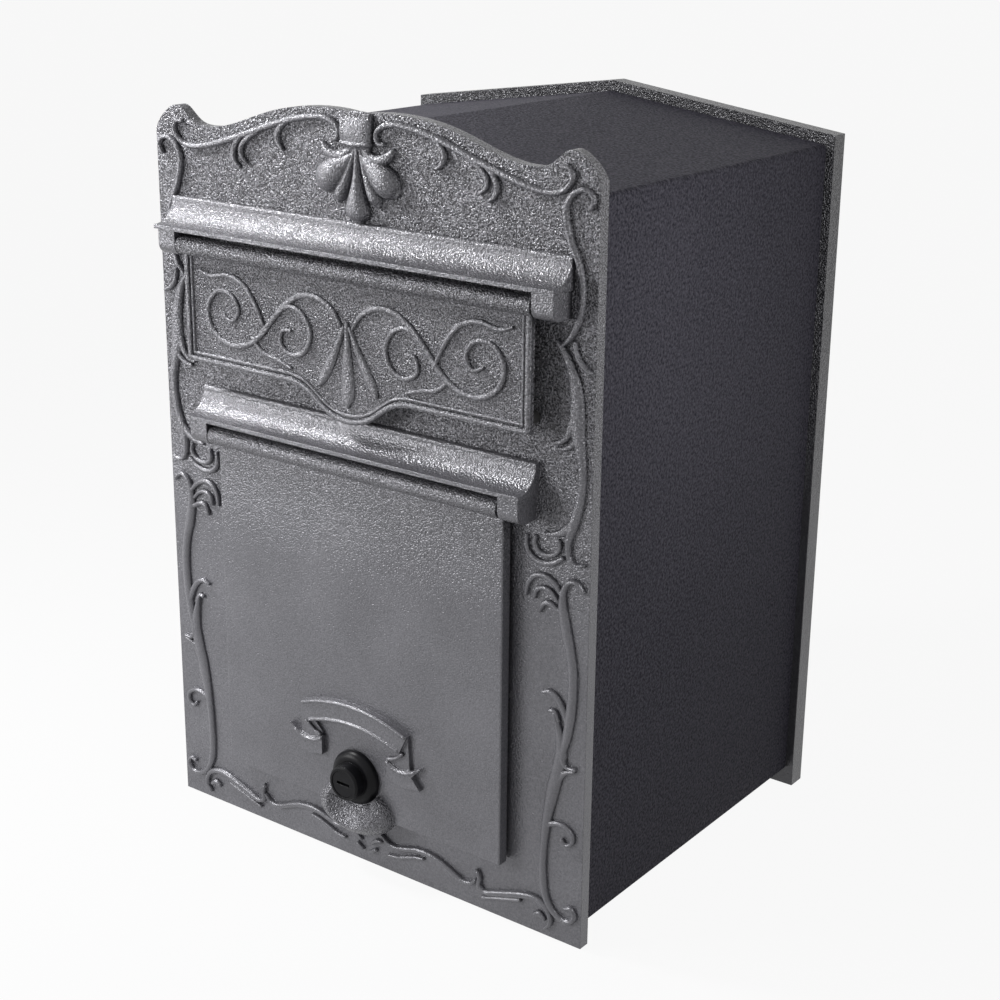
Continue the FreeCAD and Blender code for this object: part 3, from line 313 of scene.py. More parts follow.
tendrils = [
    # Three that peel off the long scroll
    [(39, 369, 2.0), (45.6, 365.6, 2.4), (49, 361, 3.0), (48.2, 357, 2.4), (45.4, 354.4, 1.0)],
    [(58, 363, 2.0), (66, 358.8, 2.2), (71.6, 354, 2.4), (72.3, 349.6, 2.0), (69, 346.3, 1.0)],
    [(71, 358.8, 1.8), (75.6, 354.8, 2.6), (77.6, 350, 2.8), (76.6, 346, 2.2), (73.4, 343.4, 1.0)],
    # Hook and leaflets of the broad leaf
    [(119.4, 289, 1.2), (121, 283, 2.0), (124.4, 279.2, 2.0), (128, 277.4, 1.2)],
    [(119, 254, 4.0), (117, 248, 3.0), (113.4, 244.4, 2.2), (109.4, 243.4, 1.2)],
    [(122, 250, 3.0), (120.6, 245.4, 2.6), (116.6, 242.2, 2.0), (111.6, 241, 1.2)],
    # Leaf under the lower hood's end
    [(121.6, 211, 3.0), (117.4, 205.2, 4.0), (111.8, 202, 2.6), (106, 201, 1.2)],
    # Open rings at mid height
    [(96.2, 198, 1.4), (96.4, 192.4, 2.4), (99.4, 188.6, 2.6), (104.6, 187, 2.6), (110.6, 188.2, 2.4),
     (115.6, 191.4, 1.8)],
    [(101, 198.6, 1.6), (100.6, 194.8, 2.0), (103, 191.9, 2.0), (107, 191.1, 2.0), (111.4, 192.4, 2.0),
     (114.2, 196, 1.8), (113.6, 199.2, 1.4)],
    [(96.4, 170.4, 1.4), (97.4, 175.8, 2.2), (100.4, 179.8, 2.4), (104.8, 181.2, 2.4), (109, 180.2, 2.4),
     (112.8, 177.6, 2.2), (115.4, 174.6, 1.6)],
    [(101, 170, 1.6), (102.2, 173.8, 2.0), (105.8, 175.4, 2.0), (110, 174.4, 2.0), (113.6, 171, 1.4)],
    [(104, 164, 1.4), (106.2, 168, 2.2), (109.8, 168.6, 2.4), (114, 166.4, 2.0)],
    # Small leaf beside the door
    [(106, 125, 1.2), (110, 126, 2.2), (114, 124.4, 2.8), (117.6, 119.6, 3.0), (120, 113.6, 2.4)],
    [(110.6, 117, 1.6), (113.4, 117, 2.0), (115.6, 113.4, 1.4)],
    # Tip and curl of the corner band
    [(114.4, 80, 3.0), (117.4, 86, 3.0), (120.8, 89, 2.0), (124.4, 90.2, 1.2)],
    [(111, 59.4, 2.6), (115.6, 61.2, 2.2), (120.6, 60.8, 2.2), (124.4, 57.8, 2.0), (124.2, 53.8, 1.8),
     (121.2, 51.8, 1.6), (119, 53.8, 1.4)],
    # Strokes under the waves and beside the pull
    [(104.6, 9.4, 2.6), (107, 10.4, 3.2), (109.6, 9, 2.0)],
    [(74, 7.2, 1.2), (84, 10.2, 1.6), (95, 13.4, 1.8)],
    [(14.6, 9.2, 1.2), (20, 9.8, 1.6), (26, 11.8, 1.8), (32, 13.8, 1.8), (36.4, 14.6, 1.4)],
    [(3.6, 12, 1.4), (6.4, 14, 2.0), (9.4, 14.8, 1.4)],
    [(2.8, 7, 1.4), (5.8, 8.8, 1.8)],
]

# Palmette on the crest: its right half as stations of (x, height, foot width, rise)
palmette_strap = [(0, 374, 17, 0.8), (0, 372.8, 17.6, 2.8), (0, 370, 18, 3.8), (0, 366, 18, 4.2),
                  (0, 362, 17.4, 3.6), (0, 359.4, 15.4, 2.4), (0, 358, 13.6, 1.2)]
palmette_drop = [(0, 358.6, 2.2, 2.2), (0, 350, 3.4, 2.8), (0, 343, 6.0, 3.6), (0, 336.5, 10.2, 4.6),
                 (0, 331.4, 13, 5.0), (0, 328, 11.4, 3.8), (0, 326.6, 7.0, 1.8)]
palmette_side = [
    [(1.8, 358, 1.8, 1.6), (4, 350.8, 2.8, 2.4), (7, 344, 4.8, 3.2), (9.8, 338.9, 6.4, 3.6),
     (11.2, 336.4, 5.8, 2.8), (11.9, 335, 3.4, 1.4)],
    [(2.6, 356, 3.0, 2.0), (7.2, 352.6, 7.0, 3.4), (12, 349, 11.4, 4.8), (16.4, 345.8, 13.4, 5.4),
     (19.6, 343.4, 12.6, 4.6), (21.8, 341.8, 9.6, 3.0), (22.8, 341, 6.0, 1.4)],
    [(4, 358.4, 3.4, 1.8), (8.4, 355.6, 4.4, 2.8), (13.4, 355, 5.0, 3.2), (18, 356.8, 4.6, 2.8),
     (20.4, 359.4, 2.6, 1.6)],
]
palmette_roll = [(-7.8, 361.4, 2.2, 3.6), (0, 361, 2.4, 4.4), (7.8, 361.4, 2.2, 3.6)]


def object_place(tree):
    """Where on the object a point lies, in metres."""
    return Field.node(tree, "ShaderNodeTexCoord", output="Object")


def tint(skin, share, dark, light):
    """Colour that goes from a dark one to a light one as the share goes from 0 to 1."""
    tree = skin.id_data
    colour = Field.node(tree, "ShaderNodeMix", {"data_type": "RGBA"}, {
        0: share, 6: (*dark, 1), 7: (*light, 1)}, output=2)
    tree.links.new(colour.socket, skin.inputs["Base Color"])


def emboss(skin, height, strength, depth, edge_radius=None):
    """Bumps of a depth in mm, over edges that are rounded in shading where a radius is given."""
    tree = skin.id_data
    inputs = {"Strength": strength, "Distance": depth * mm, "Height": height}
    if edge_radius is not None:
        inputs["Normal"] = Field.node(tree, "ShaderNodeBevel", {"samples": 4}, {"Radius": edge_radius * mm})
    bumped = Field.node(tree, "ShaderNodeBump", {}, inputs)
    tree.links.new(bumped.socket, skin.inputs["Normal"])


def enamel(name, least_grain_and_painted_shade, most_grain_and_painted_shade, depth=1.0):
    """Hammered enamel: worm-like ridges and shallow dimples over a slow change of tone.

    From its start upwards, in metres, the hammer texture grows by its growth per metre, from its least
    strength to its most over the slot. Where it is strong the bumps are deeper, and the colour's worm
    speckle has more contrast and a darker mean: painted shade and highlight of light raking the upper
    part, over the hammer marks' own tone. A depth below 1 darkens the colours by that share, as
    painted shade.
    """
    material, tree, skin = new_finish(name)
    place = object_place(tree)
    worms = Field.node(tree, "ShaderNodeTexNoise", {}, {
        "Vector": place, "Scale": 1300.0, "Detail": 0.6, "Roughness": 0.5, "Distortion": 0.3})
    dimples = Field.node(tree, "ShaderNodeTexVoronoi", {"feature": "SMOOTH_F1"}, {
        "Vector": place, "Scale": 520.0, "Smoothness": 0.7})
    tone = Field.node(tree, "ShaderNodeTexNoise", {}, {"Vector": place, "Scale": 30.0, "Detail": 3.0})
    level = Field.node(tree, "ShaderNodeSeparateXYZ", {}, {"Vector": place}, output=2)
    # Mask that grows upwards: it deepens the bumps, and in the colour it stands for painted shade and
    # highlight of light raking the upper part
    grain_and_painted_shade = least_grain_and_painted_shade + ((level - grain_and_painted_shade_start) * grain_and_painted_shade_growth).limited() * (most_grain_and_painted_shade - least_grain_and_painted_shade)
    # Worm speckle in the colour, partly the hammer marks' own tone; its contrast growing upwards and the
    # darker mean there are painted shade and highlight
    shade = ((worms - 0.5) * 3.0 * grain_and_painted_shade + (tone - 0.5) * 0.3 + 0.6 - grain_and_painted_shade * 0.19).limited()
    # A depth below 1 scales both colours down: painted shade
    tint(skin, shade, [value * depth for value in enamel_dark], [value * depth for value in enamel_light])
    skin.inputs["Metallic"].default_value = 0.3
    skin.inputs["Specular IOR Level"].default_value = 0.6
    tree.links.new((0.22 + 0.08 * tone).socket, skin.inputs["Roughness"])
    emboss(skin, (worms + dimples * 0.15) * grain_and_painted_shade, strength=1.0, depth=1.2, edge_radius=0.6)
    return material


def finish_nodes(material, *names):
    """Give CAD nodes their finish."""
    for name in names:
        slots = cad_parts[name].data.materials
        slots.clear()
        slots.append(material)


def smooth_route(stations, tips):
    """Points along the curve through the stations, evenly spaced and closer together at the tips.

    Between two stations each value is the cubic whose slope at either one is half the difference
    of that station's two neighbours.
    """
    stations = np.array(stations, dtype=float)
    padded = np.vstack([stations[:1], stations, stations[-1:]])
    spans = np.stack([padded[:-3], padded[1:-2], padded[2:-1], padded[3:]], axis=1)
    t = np.linspace(0, 1, curve_steps, endpoint=False)[:, None]
    weights = np.hstack([-t + 2 * t**2 - t**3, 2 - 5 * t**2 + 3 * t**3,
                         t + 4 * t**2 - 3 * t**3, t**3 - t**2]) / 2
    curve = np.einsum("tw,swc->stc", weights, spans).reshape(-1, stations.shape[1])
    curve = np.vstack([curve, stations[-1:]])
    run = np.concatenate([[0], np.cumsum(np.hypot(*np.diff(curve[:, :2], axis=0).T))])
    near = 1 - np.cos(np.linspace(0, np.pi / 2, tip_rows))
    even = np.linspace(tips[0], run[-1] - tips[1], 2 + int(run[-1] / ridge_spacing))
    places = np.concatenate([tips[0] * near[:-1], even, run[-1] - tips[1] * near[-2::-1]])
    return np.column_stack([np.interp(places, run, column) for column in curve.T]), places


def with_tips(stations):
    """The stations with one more beyond each end, and how far beyond, for a rounded tip."""
    stations = np.array(stations, dtype=float)
    tips, reaches = [], []
    for end, next_in in ((0, 1), (-1, -2)):
        out = stations[end, :2] - stations[next_in, :2]
        reach = min(stations[end, 2] / 2, ridge_tip) + enamel_coat
        tip = stations[end].copy()
        tip[:2] += out / np.hypot(*out) * reach
        tips.append(tip)
        reaches.append(reach)
    return np.vstack([tips[0], stations, tips[1]]), reaches


def ridge_grid(stations, fullness, face_y, hidden=None):
    """Rounded ridge along a route: a grid of points, one row across the ridge for each point on it.

    Stations are (x, z, foot width, rise). Across the ridge the turn runs from 0 to pi: the place is
    minus its cosine times half the width, and the height is its sine to the power of the fullness.
    Towards either tip the width shrinks along a quarter circle, down to the tip's share, and the
    height with its square root. Where hidden is true the row lies inside.
    """
    stations, tips = with_tips(stations)
    route, places = smooth_route(stations, tips)
    x, z, width, rise = route.T
    along = np.gradient(np.column_stack([x, z]), axis=0)
    along /= np.hypot(*along.T)[:, None]
    to_tip = np.minimum(np.minimum(places / tips[0], (places[-1] - places) / tips[1]), 1.0)
    taper = np.sqrt(1 - (1 - to_tip) ** 2)
    if hidden is not None:
        rise = np.where(hidden(x, z), -relief_sink, rise)
    turn = np.linspace(0, np.pi, ridge_columns)
    level = np.sin(turn).clip(0) ** fullness
    half = (width / 2 + enamel_coat) * (tip_width + (1 - tip_width) * taper)
    reach = -half[:, None] * np.cos(turn)
    lift = (relief_sink + (rise + enamel_coat) * np.sqrt(taper))[:, None] * level
    return np.dstack([x[:, None] + along[:, 1:] * reach, face_y + relief_sink - lift,
                      z[:, None] - along[:, :1] * reach])


def both_halves(stations):
    """Stations of the right half and their mirror image."""
    stations = np.array(stations, dtype=float)
    return [stations, stations * np.where(np.arange(stations.shape[1]) == 0, -1, 1)]


def piece(name, grids, material, body):
    """One object from closed tubes: quads between the rows, round each row, and a cap at each end."""
    points, faces = [], []
    start = 0
    for grid in grids:
        rows, columns, _ = grid.shape
        index = start + np.arange(rows * columns).reshape(rows, columns)
        after = np.roll(index, -1, axis=1)
        quads = np.dstack([index[:-1], after[:-1], after[1:], index[1:]]).reshape(-1, 4)
        faces += quads.tolist() + [index[0, ::-1].tolist(), index[-1].tolist()]
        points.append(grid.reshape(-1, 3) * mm)
        start += rows * columns
    mesh = bpy.data.meshes.new(name)
    mesh.from_pydata(np.vstack(points).tolist(), [], faces)
    mesh.shade_smooth()
    mesh.materials.append(material)
    made = bpy.data.objects.new(name, mesh)
    scene.collection.objects.link(made)
    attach(made, body)
    return made


def on_plate(stations, rise=None):
    """Drawn stations stretched to the plate and put on it, with a rise where none is drawn."""
    stations = np.array(stations, dtype=float)
    if rise is not None:
        stations = np.column_stack([stations, np.full(len(stations), rise)])
    stations[:, 0] *= (plate_high[0] - plate_low[0]) / mm / relief_drawing[0]
    stations[:, 1] *= (plate_high[2] - plate_low[2]) / mm / relief_drawing[1]
    stations[:, 1] += bottom_z
    return stations


def behind_others(x, z):
    """True where a hood or the door stands in front of the plate."""
    inside = np.zeros(x.shape, dtype=bool)
    for node in ("upper_hood", "lower_hood", "collection_door"):
        low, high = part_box(node)
        reach = high[0] / mm + relief_gap
        inside |= (abs(x) < reach) & (z > low[2] / mm - relief_gap) & (z < high[2] / mm)
    return inside


casting = enamel("hammered_enamel", 0.2, 1.0)
# The relief and the hoods have a weaker hammer texture, and with it less of the enamel's painted shade
smooth_casting = enamel("smooth_enamel", 0.15, 0.45)
finish_nodes(casting, "front_plate")
scrollwork = []
for drawn, rise, fullness in ((bands, band_rise, band_fullness), (tendrils, tendril_rise, tendril_fullness)):
    for stations in drawn:
        for half in both_halves(on_plate(stations, rise)):
            scrollwork.append(ridge_grid(half, fullness, front_y, behind_others))
piece("front_scrolls", scrollwork, smooth_casting, "box")
lobes = [
    ridge_grid(on_plate(palmette_drop), lobe_fullness, front_y),
    ridge_grid(on_plate(palmette_strap), strap_fullness, front_y),
    ridge_grid(on_plate(palmette_roll), roll_fullness, front_y),
]
for stations in palmette_side:
    for half in both_halves(on_plate(stations)):
        lobes.append(ridge_grid(half, lobe_fullness, front_y, behind_others))
piece("palmette", lobes, smooth_casting, "box")

# Hoods
# Two castings screwed to the plate from behind. Each has a bead, a hollow cove and a thin lip, and
# an ear at either end that carries a hinge pin. They wear the same enamel.

finish_nodes(smooth_casting, "upper_hood", "lower_hood")

# Posting flap
# One aluminium casting hung from its own barrel. A rounded rim and a fine bead follow its edge, and
# scrollwork fills its face.

flap_out = 9.5
flap_face_y = front_y - flap_out
flap_width = 206.8
flap_axis_z = 119.2
flap_side_drop = 56.6
flap_dip_drop = 70.7
flap_ogee_half_width = 38.0
flap_side_start = 3.0
flap_rim = (2.4, 1.3)
flap_bead = (1.2, 0.7)
flap_bead_inset = 4.0
flap_rim_fullness = 0.5
flap_bead_fullness = 0.7
flap_scroll_rise = 1.1
flap_scroll_fullness = 0.55

# Stations of the right half as (x, height over the straight lower edge, foot width)
flap_scrolls = [
    [(4, 32, 1.4), (9, 38.6, 2.2), (18, 42.8, 2.4), (28, 42.4, 2.6), (38, 36.6, 2.6), (47, 27.6, 2.6),
     (56, 18, 2.6), (67, 12.2, 2.6), (79, 12.6, 2.4), (87.6, 19.6, 2.2), (88.8, 29.6, 2.2), (82, 37, 2.0),
     (73, 36.2, 1.8), (68.6, 29.4, 1.6), (72.4, 23.6, 1.4), (77.8, 25.4, 1.2)],
    [(43.6, 31.4, 1.4), (35.6, 36.2, 1.8), (27, 33.4, 2.0), (22.8, 25, 2.2), (26, 16.4, 2.2), (34.2, 13, 2.0),
     (41.2, 17, 1.8), (40.2, 23.8, 1.4), (35, 24.6, 1.2)],
    [(51.6, 22.6, 1.4), (57, 33, 2.0), (64.6, 42, 2.2), (75, 45.6, 2.0), (86, 43.8, 1.6), (93.4, 45.8, 1.0)],
    [(59, 15.8, 1.4), (52, 10.8, 1.8), (43.6, 9.2, 1.6), (35.4, 6.8, 1.0)],
]
flap_lobe_centre = [(0, 33, 2.0), (0, 24, 3.4), (0, 12, 6.4), (0, 3, 8.2), (0, -2.6, 6.6), (0, -5.4, 2.4)]
flap_lobe_side = [(2, 31, 1.8), (6, 22, 3.2), (11, 12.4, 5.2), (15, 5.6, 5.0), (17.2, 2, 2.0)]


def flap_edge(inset, width, rise):
    """Stations of the flap's two sides and of its lower edge, drawn in by an inset.

    The lower edge is straight outside the ogee. Inside it, with t from 0 at the centre to 1, x is the
    ogee's half width times 1.5 t (1 - t) + t cubed, and the height eases from the dip with 3 t^2 - 2 t^3.
    """
    side = flap_width / 2 - inset
    low = flap_axis_z - flap_side_drop + inset
    dip = flap_axis_z - flap_dip_drop + inset
    t = np.linspace(0, 1, 14)
    x = flap_ogee_half_width * (1.5 * t * (1 - t) + t**3)
    z = dip + (low - dip) * (3 * t**2 - 2 * t**3)
    straight = [side * 0.6, side * 0.9, side - width / 2]
    right = np.column_stack([np.append(x, straight), np.append(z, np.full(len(straight), low))])
    bottom = np.vstack([right[:0:-1] * (-1, 1), right])
    heights = np.linspace(flap_axis_z - flap_side_start, low + width / 2, 4)
    upright = np.column_stack([np.full(heights.size, side), heights])
    shaped = []
    for line in (bottom, upright, upright * (-1, 1)):
        shaped.append(np.column_stack([line, np.full(len(line), width), np.full(len(line), rise)]))
    return shaped


def on_flap(stations):
    """Drawn stations put on the flap's face, above its straight lower edge."""
    stations = np.array(stations, dtype=float)
    stations[:, 1] += flap_axis_z - flap_side_drop
    return np.column_stack([stations, np.full(len(stations), flap_scroll_rise)])


finish_nodes(casting, "posting_flap")
mouldings = [(flap_rim[0] / 2, flap_rim, flap_rim_fullness), (flap_bead_inset, flap_bead, flap_bead_fullness)]
edging = []
for inset, (width, rise), fullness in mouldings:
    edging += [ridge_grid(line, fullness, flap_face_y) for line in flap_edge(inset, width, rise)]
piece("flap_mouldings", edging, smooth_casting, "flap")
leafage = [ridge_grid(on_flap(flap_lobe_centre), lobe_fullness, flap_face_y)]
for half in both_halves(on_flap(flap_lobe_side)):
    leafage.append(ridge_grid(half, lobe_fullness, flap_face_y))
for stations in flap_scrolls:
    for half in both_halves(on_flap(stations)):
        leafage.append(ridge_grid(half, flap_scroll_fullness, flap_face_y))
piece("flap_scrollwork", leafage, smooth_casting, "flap")

# Collection door
# One thick aluminium casting. Its thumb pull swells out of the door below the lock and is hollowed
# for the thumb above. Over the lock lies a blank ribbon with a fine raised edging.

door_out = 7.5
door_face_y = front_y - door_out
lock_height = 51.0
lock_z = bottom_z + lock_height

# Ribbon: points as (x, height above the lock), and long lines as (half width, span, middle, end)
ribbon_rise = 3.2
fold_rise = 1.6
tail_rise = 2.6
edging_width = 1.4
edging_rise = 0.6
edging_fullness = 0.7
ribbon_points = 15
ribbon_crease = math.radians(45)
ribbon_sides = [(34.2, 34.0, 39.2, 32.6), (29.4, 29.0, 28.0, 22.6)]
ribbon_edging = [(32.6, 34.0, 38.3, 31.7), (28.2, 29.0, 28.9, 23.5)]
fold_outline = [(21.2, 18.8), (27.0, 24.6), (33.8, 31.8), (35.2, 12.9), (29.2, 10.8), (22.2, 12.8)]
tail_outline = [(20.8, 16.6), (29.2, 13.6), (37.4, 15.6), (42.4, 18.0), (36.7, 11.8), (41.8, 6.2),
                (31.0, 4.4), (20.8, 6.6)]
fold_curves = [
    [(30.8, 22.4), (28.6, 20.4), (25.6, 18.6), (22.2, 17.4)],
    [(21.6, 15.2), (25.0, 13.4), (29.4, 12.6), (34.0, 13.2), (38.2, 15.0)],
]

# Thumb pull: heights are above the plate's lower edge
pull_middle = 34.0
pull_half = (23.0, 13.0)
pull_out = 9.5
hollow_r = 18.0
hollow_middle = (41.0, 17.5)
hollow_blend = 0.8
lock_room_r = 15.6
lock_room_lap = 0.2
lock_room_slope = 3.0
pull_overlap = 1.01
pull_end_share = 0.98
pull_sink = 0.9
pull_rows = 73
pull_columns = 97


def ribbon_line(half_width, span, middle, end):
    """Stations along the ribbon: an arc through a middle height and, at its full span, an end height."""
    x = np.linspace(-half_width, half_width, ribbon_points)
    return np.column_stack([x, middle + (end - middle) * (x / span) ** 2])


def ribbon_part(outline, rise):
    """Flat part of the ribbon: its outline at its own face and again inside the door."""
    x, height = np.array(outline, dtype=float).T
    return np.stack([np.column_stack([x, np.full(x.shape, door_face_y + y), lock_z + height])
                     for y in (-rise, relief_sink)])


def edging_line(line):
    """Stations of the raised edging along points of (x, height above the lock)."""
    line = np.array(line, dtype=float)
    return np.column_stack([line[:, 0], lock_z + line[:, 1], np.full(len(line), edging_width),
                            np.full(len(line), edging_rise)])


def pull_grid():
    """Front of the pull over rows that fill its ellipse, closed at the back inside the door.

    Each row runs from side to side, at a share of the way from the ellipse's lower edge to its upper
    one, or to the round edge of the lock's room where that is lower. An ellipsoid and the ball that
    hollows it are blended by minus the blend length times the log of the sum of their exponentials.
    """
    x = pull_overlap * pull_half[0] * np.sin(np.linspace(-np.pi / 2, np.pi / 2, pull_columns))
    reach = pull_overlap * pull_half[1] * np.sqrt(1 - (pull_end_share * x / pull_half[0]) ** 2)
    beside_lock = lock_height - np.sqrt(((lock_room_r - lock_room_lap) ** 2 - x**2).clip(0))
    low, top = pull_middle - reach, np.minimum(pull_middle + reach, beside_lock)
    share = (1 - np.cos(np.linspace(0, np.pi, pull_rows)))[:, None] / 2
    x, height = np.broadcast_arrays(x, low + (top - low) * share)
    inside = 1 - (x / pull_half[0]) ** 2 - ((height - pull_middle) / pull_half[1]) ** 2
    bulb = pull_out * np.where(inside > 0, np.sqrt(inside.clip(0)), 2 * inside)
    across = hollow_r**2 - x**2 - (height - hollow_middle[0]) ** 2
    hollow = np.where(across > 0, hollow_middle[1] - np.sqrt(across.clip(0)), hollow_r)
    out = hollow_blend * (math.log(2) - np.logaddexp(-bulb / hollow_blend, -hollow / hollow_blend))
    to_lock = np.hypot(x, bottom_z + height - lock_z)
    out = np.minimum(out, (to_lock - lock_room_r) * lock_room_slope).clip(-relief_sink)
    front = np.dstack([x, door_face_y - out, bottom_z + height])
    back = front[:, ::-1] * (1, 0, 1) + (0, door_face_y + pull_sink, 0)
    return np.hstack([front, back])


finish_nodes(casting, "collection_door")
# The pull wears the coarsest hammer texture, and with it the most of the enamel's painted shade
piece("thumb_pull", [pull_grid()], enamel("coarse_enamel", 0.7, 1.0), "door")
upper_side, lower_side = (ribbon_line(*side) for side in ribbon_sides)
ribbon = [ribbon_part(np.vstack([upper_side, lower_side[::-1]]), ribbon_rise)]
for outline, rise in ((fold_outline, fold_rise), (tail_outline, tail_rise)):
    ribbon.append(ribbon_part(outline, rise))
    ribbon.append(ribbon_part([(-x, height) for x, height in outline[::-1]], rise))
for line in ribbon_edging:
    ribbon.append(ridge_grid(edging_line(ribbon_line(*line)), edging_fullness, door_face_y - ribbon_rise))
for curve in fold_curves:
    for half in both_halves(edging_line(curve)):
        ribbon.append(ridge_grid(half, edging_fullness, door_face_y - tail_rise))
door_ribbon = piece("door_ribbon", ribbon, casting, "door")
door_ribbon.data.set_sharp_from_angle(angle=ribbon_crease)

# Cam lock
# Turned zinc body in satin black, clamped to the door by a nut, with a plated cam on its plug.


def satin_black():
    """Satin black lacquer with a faint unevenness."""
    material, tree, skin = new_finish("satin_black")
    place = object_place(tree)
    haze = Field.node(tree, "ShaderNodeTexNoise", {}, {"Vector": place, "Scale": 260.0, "Detail": 4.0})
    tint(skin, haze, (0.004, 0.004, 0.005), (0.011, 0.011, 0.013))
    skin.inputs["Specular IOR Level"].default_value = 0.13
    tree.links.new((0.28 + 0.14 * haze).socket, skin.inputs["Roughness"])
    emboss(skin, haze, strength=0.6, depth=0.05, edge_radius=0.4)
    return material


def zinc_plate():
    """Bright zinc plating: a satin metal with fine drawn lines along X and a cloudy passivation."""
    material, tree, skin = new_finish("zinc_plate")
    place = object_place(tree)
    drawn = Field.node(tree, "ShaderNodeMapping", {}, {"Vector": place, "Scale": (60.0, 2400.0, 2400.0)})
    lines = Field.node(tree, "ShaderNodeTexNoise", {}, {"Vector": drawn, "Scale": 1.0, "Detail": 2.0})
    cloud = Field.node(tree, "ShaderNodeTexNoise", {}, {"Vector": place, "Scale": 180.0, "Detail": 3.0})
    tint(skin, cloud, (0.48, 0.50, 0.55), (0.70, 0.69, 0.66))
    skin.inputs["Metallic"].default_value = 1.0
    tree.links.new((0.22 + 0.16 * lines + 0.10 * cloud).socket, skin.inputs["Roughness"])
    emboss(skin, lines, strength=0.5, depth=0.02)
    return material


zinc = zinc_plate()
finish_nodes(satin_black(), "lock_housing", "lock_plug")
finish_nodes(zinc, "lock_nut", "lock_cam", "cam_washer", "cam_bolt")

# Hinge pins and rubber
# Drawn steel rods, zinc plated, and moulded studs and pads of black rubber that quiet the flap and
# the door.


def rubber():
    """Matt black rubber with a dusty bloom."""
    material, tree, skin = new_finish("moulded_rubber")
    place = object_place(tree)
    bloom = Field.node(tree, "ShaderNodeTexNoise", {}, {"Vector": place, "Scale": 700.0, "Detail": 3.0})
    tint(skin, bloom, (0.010, 0.010, 0.010), (0.030, 0.029, 0.028))
    tree.links.new((0.66 + 0.2 * bloom).socket, skin.inputs["Roughness"])
    emboss(skin, bloom, strength=0.5, depth=0.05)
    return material


finish_nodes(zinc, "flap_pin", "door_pin")
finish_nodes(rubber(), "flap_buffers", "door_buffers")

# Body
# Walls and roof folded from one steel sheet with a floor tray between them, in a fine textured
# black powder coat.


def powder_coat():
    """Textured powder coat: a fine orange peel, a little glossier on its crests."""
    material, tree, skin = new_finish("powder_coat")
    place = object_place(tree)
    peel = Field.node(tree, "ShaderNodeTexNoise", {}, {
        "Vector": place, "Scale": 750.0, "Detail": 1.0, "Roughness": 0.5, "Distortion": 0.3})
    drift = Field.node(tree, "ShaderNodeTexNoise", {}, {"Vector": place, "Scale": 9.0, "Detail": 2.0})
    shade = ((peel - 0.5) * 2.6 + drift * 0.4 + 0.3).limited()
    tint(skin, shade, (0.026, 0.025, 0.034), (0.104, 0.100, 0.122))
    skin.inputs["Specular IOR Level"].default_value = 0.05
    tree.links.new((0.66 - 0.14 * peel).socket, skin.inputs["Roughness"])
    emboss(skin, peel, strength=1.0, depth=0.7, edge_radius=0.3)
    return material


finish_nodes(powder_coat(), "body_shell", "body_floor")

# Back plate
# A ribbed aluminium casting in the enamel with its colours halved as painted shade, fixed to the wall by four
# screws.

# A depth of 0.5 halves the enamel's colours: painted shade where the body keeps the light off the back plate
finish_nodes(enamel("enamel_darkened_as_painted_shade", 0.2, 1.0, 0.5), "back_plate")

# Screws
# Zinc plated pan heads with a cross recess, through the body's flanges into the castings and
# through the front plate into the hoods.

screw_sides = 32
head_level_share = 0.55
head_side_share = 0.35
head_rings = 6
recess_rings = 8
recess_reach = 0.5
recess_arm = 0.15
recess_share = 0.5
screw_centre_r = 0.02
tip_shrink = 0.8
tip_length = 0.5

# Radius of the shank, radius of the head, height of the head
body_screw = (2.0, 3.7, 2.4)
hood_screw = (1.6, 3.0, 2.0)
sheet = 1.5
body_screw_depth = 4.0
hood_screw_depth = 6.0
eaves_below_ridge = 17.0
flange_middle = 8.0
side_screw_low = 62.0
side_screw_high = 51.0
roof_screw_x = 60.0
floor_screw_x = 70.0
hood_rise = 21.7
hood_screw_rise = 9.8
hood_screw_shares = (0.3, 0.85)


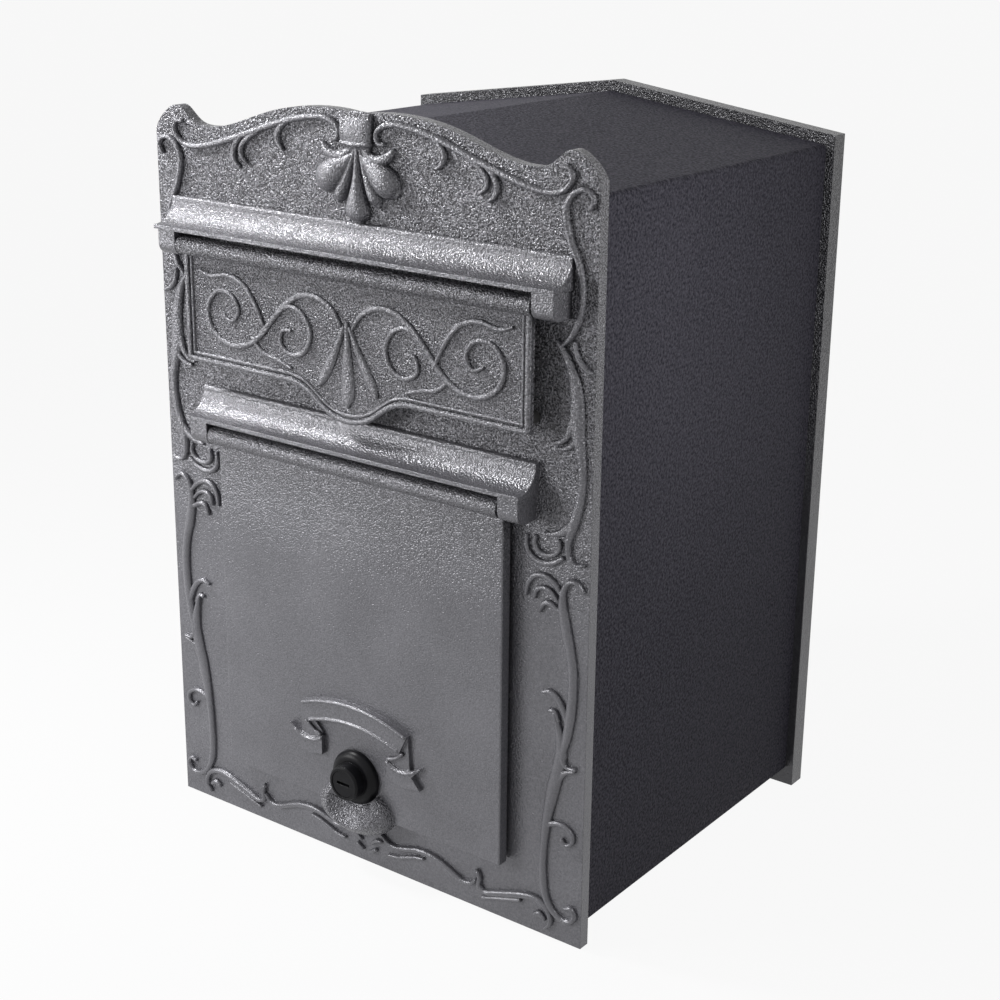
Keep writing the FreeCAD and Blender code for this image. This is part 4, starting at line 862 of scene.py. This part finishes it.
def screw_grid(centre_x, centre_z, under_head_y, tip_y, shank_r, head_r, head_height, inward):
    """Pan head screw turned about Y, as rings from the tip to the middle of the head.

    The head's top is level up to its level share of the radius and rounds over to its side along a
    quarter ellipse. The cross sinks it where both the radius and the smaller of the distances
    across and upward are small. The turn runs the way that leaves the faces outwards at either end.
    """
    turn = np.linspace(0, 2 * np.pi, screw_sides, endpoint=False)
    round_over = np.linspace(0, np.pi / 2, head_rings)
    level_r = np.linspace(head_level_share, screw_centre_r, recess_rings)[1:]
    edge_r = head_level_share + (1 - head_level_share) * np.cos(round_over)
    radius = np.concatenate([[screw_centre_r, shank_r * tip_shrink, shank_r, shank_r, head_r],
                             head_r * edge_r, head_r * level_r])
    edge_out = head_height * (head_side_share + (1 - head_side_share) * np.sin(round_over))
    out = np.concatenate([[tip_y, tip_y, tip_y + inward * tip_length, under_head_y, under_head_y],
                          under_head_y + inward * edge_out,
                          np.full(level_r.size, under_head_y + inward * head_height)])
    across = radius[:, None] * np.cos(turn)
    upward = radius[:, None] * np.sin(turn)
    in_cross = np.minimum(abs(across), abs(upward)) < head_r * recess_arm
    in_cross &= radius[:, None] < head_r * recess_reach
    in_cross &= (np.arange(radius.size) >= radius.size - level_r.size)[:, None]
    sunk = np.where(in_cross, -inward * head_height * recess_share, 0.0)
    return np.dstack([centre_x - inward * across, out[:, None] + sunk, centre_z + upward])


def body_screw_places():
    """Places (x, z) of the ten screws at one end of the body: three each side, the roof and the floor."""
    low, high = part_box("body_shell")
    half, ridge_z = high[0] / mm, high[2] / mm
    slope = eaves_below_ridge / half
    side_low = bottom_z + side_screw_low
    side_high = ridge_z - eaves_below_ridge - side_screw_high
    roof_z = ridge_z - roof_screw_x * slope - flange_middle * math.hypot(1, slope)
    right = [(half - flange_middle, z) for z in (side_low, (side_low + side_high) / 2, side_high)]
    right += [(roof_screw_x, roof_z), (floor_screw_x, low[2] / mm + flange_middle)]
    return right + [(-x, z) for x, z in right]


def hood_screw_places(node, barrel_length):
    """Places (x, z) of the four screws behind a hood, at shares of its barrel's half length."""
    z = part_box(node)[1][2] / mm - hood_rise + hood_screw_rise
    return [(side * share * barrel_length / 2, z) for side in (-1, 1) for share in hood_screw_shares]


body_low, body_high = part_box("body_shell")
body_ends = {"front_screws": (body_low[1] / mm, 1), "back_screws": (body_high[1] / mm, -1)}
for name, (end_y, inward) in body_ends.items():
    under_head_y = end_y + inward * sheet
    tip_y = end_y - inward * body_screw_depth
    grids = [screw_grid(x, z, under_head_y, tip_y, *body_screw, inward) for x, z in body_screw_places()]
    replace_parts(piece(name + "_pan_heads", grids, zinc, "box"), name)
for node, barrel_length in (("upper_hood", 210.0), ("lower_hood", 177.0)):
    grids = [screw_grid(x, z, plate_back_y, front_y - hood_screw_depth, *hood_screw, 1)
             for x, z in hood_screw_places(node, barrel_length)]
    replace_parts(piece(node + "_pan_heads", grids, zinc, "box"), node + "_screws")
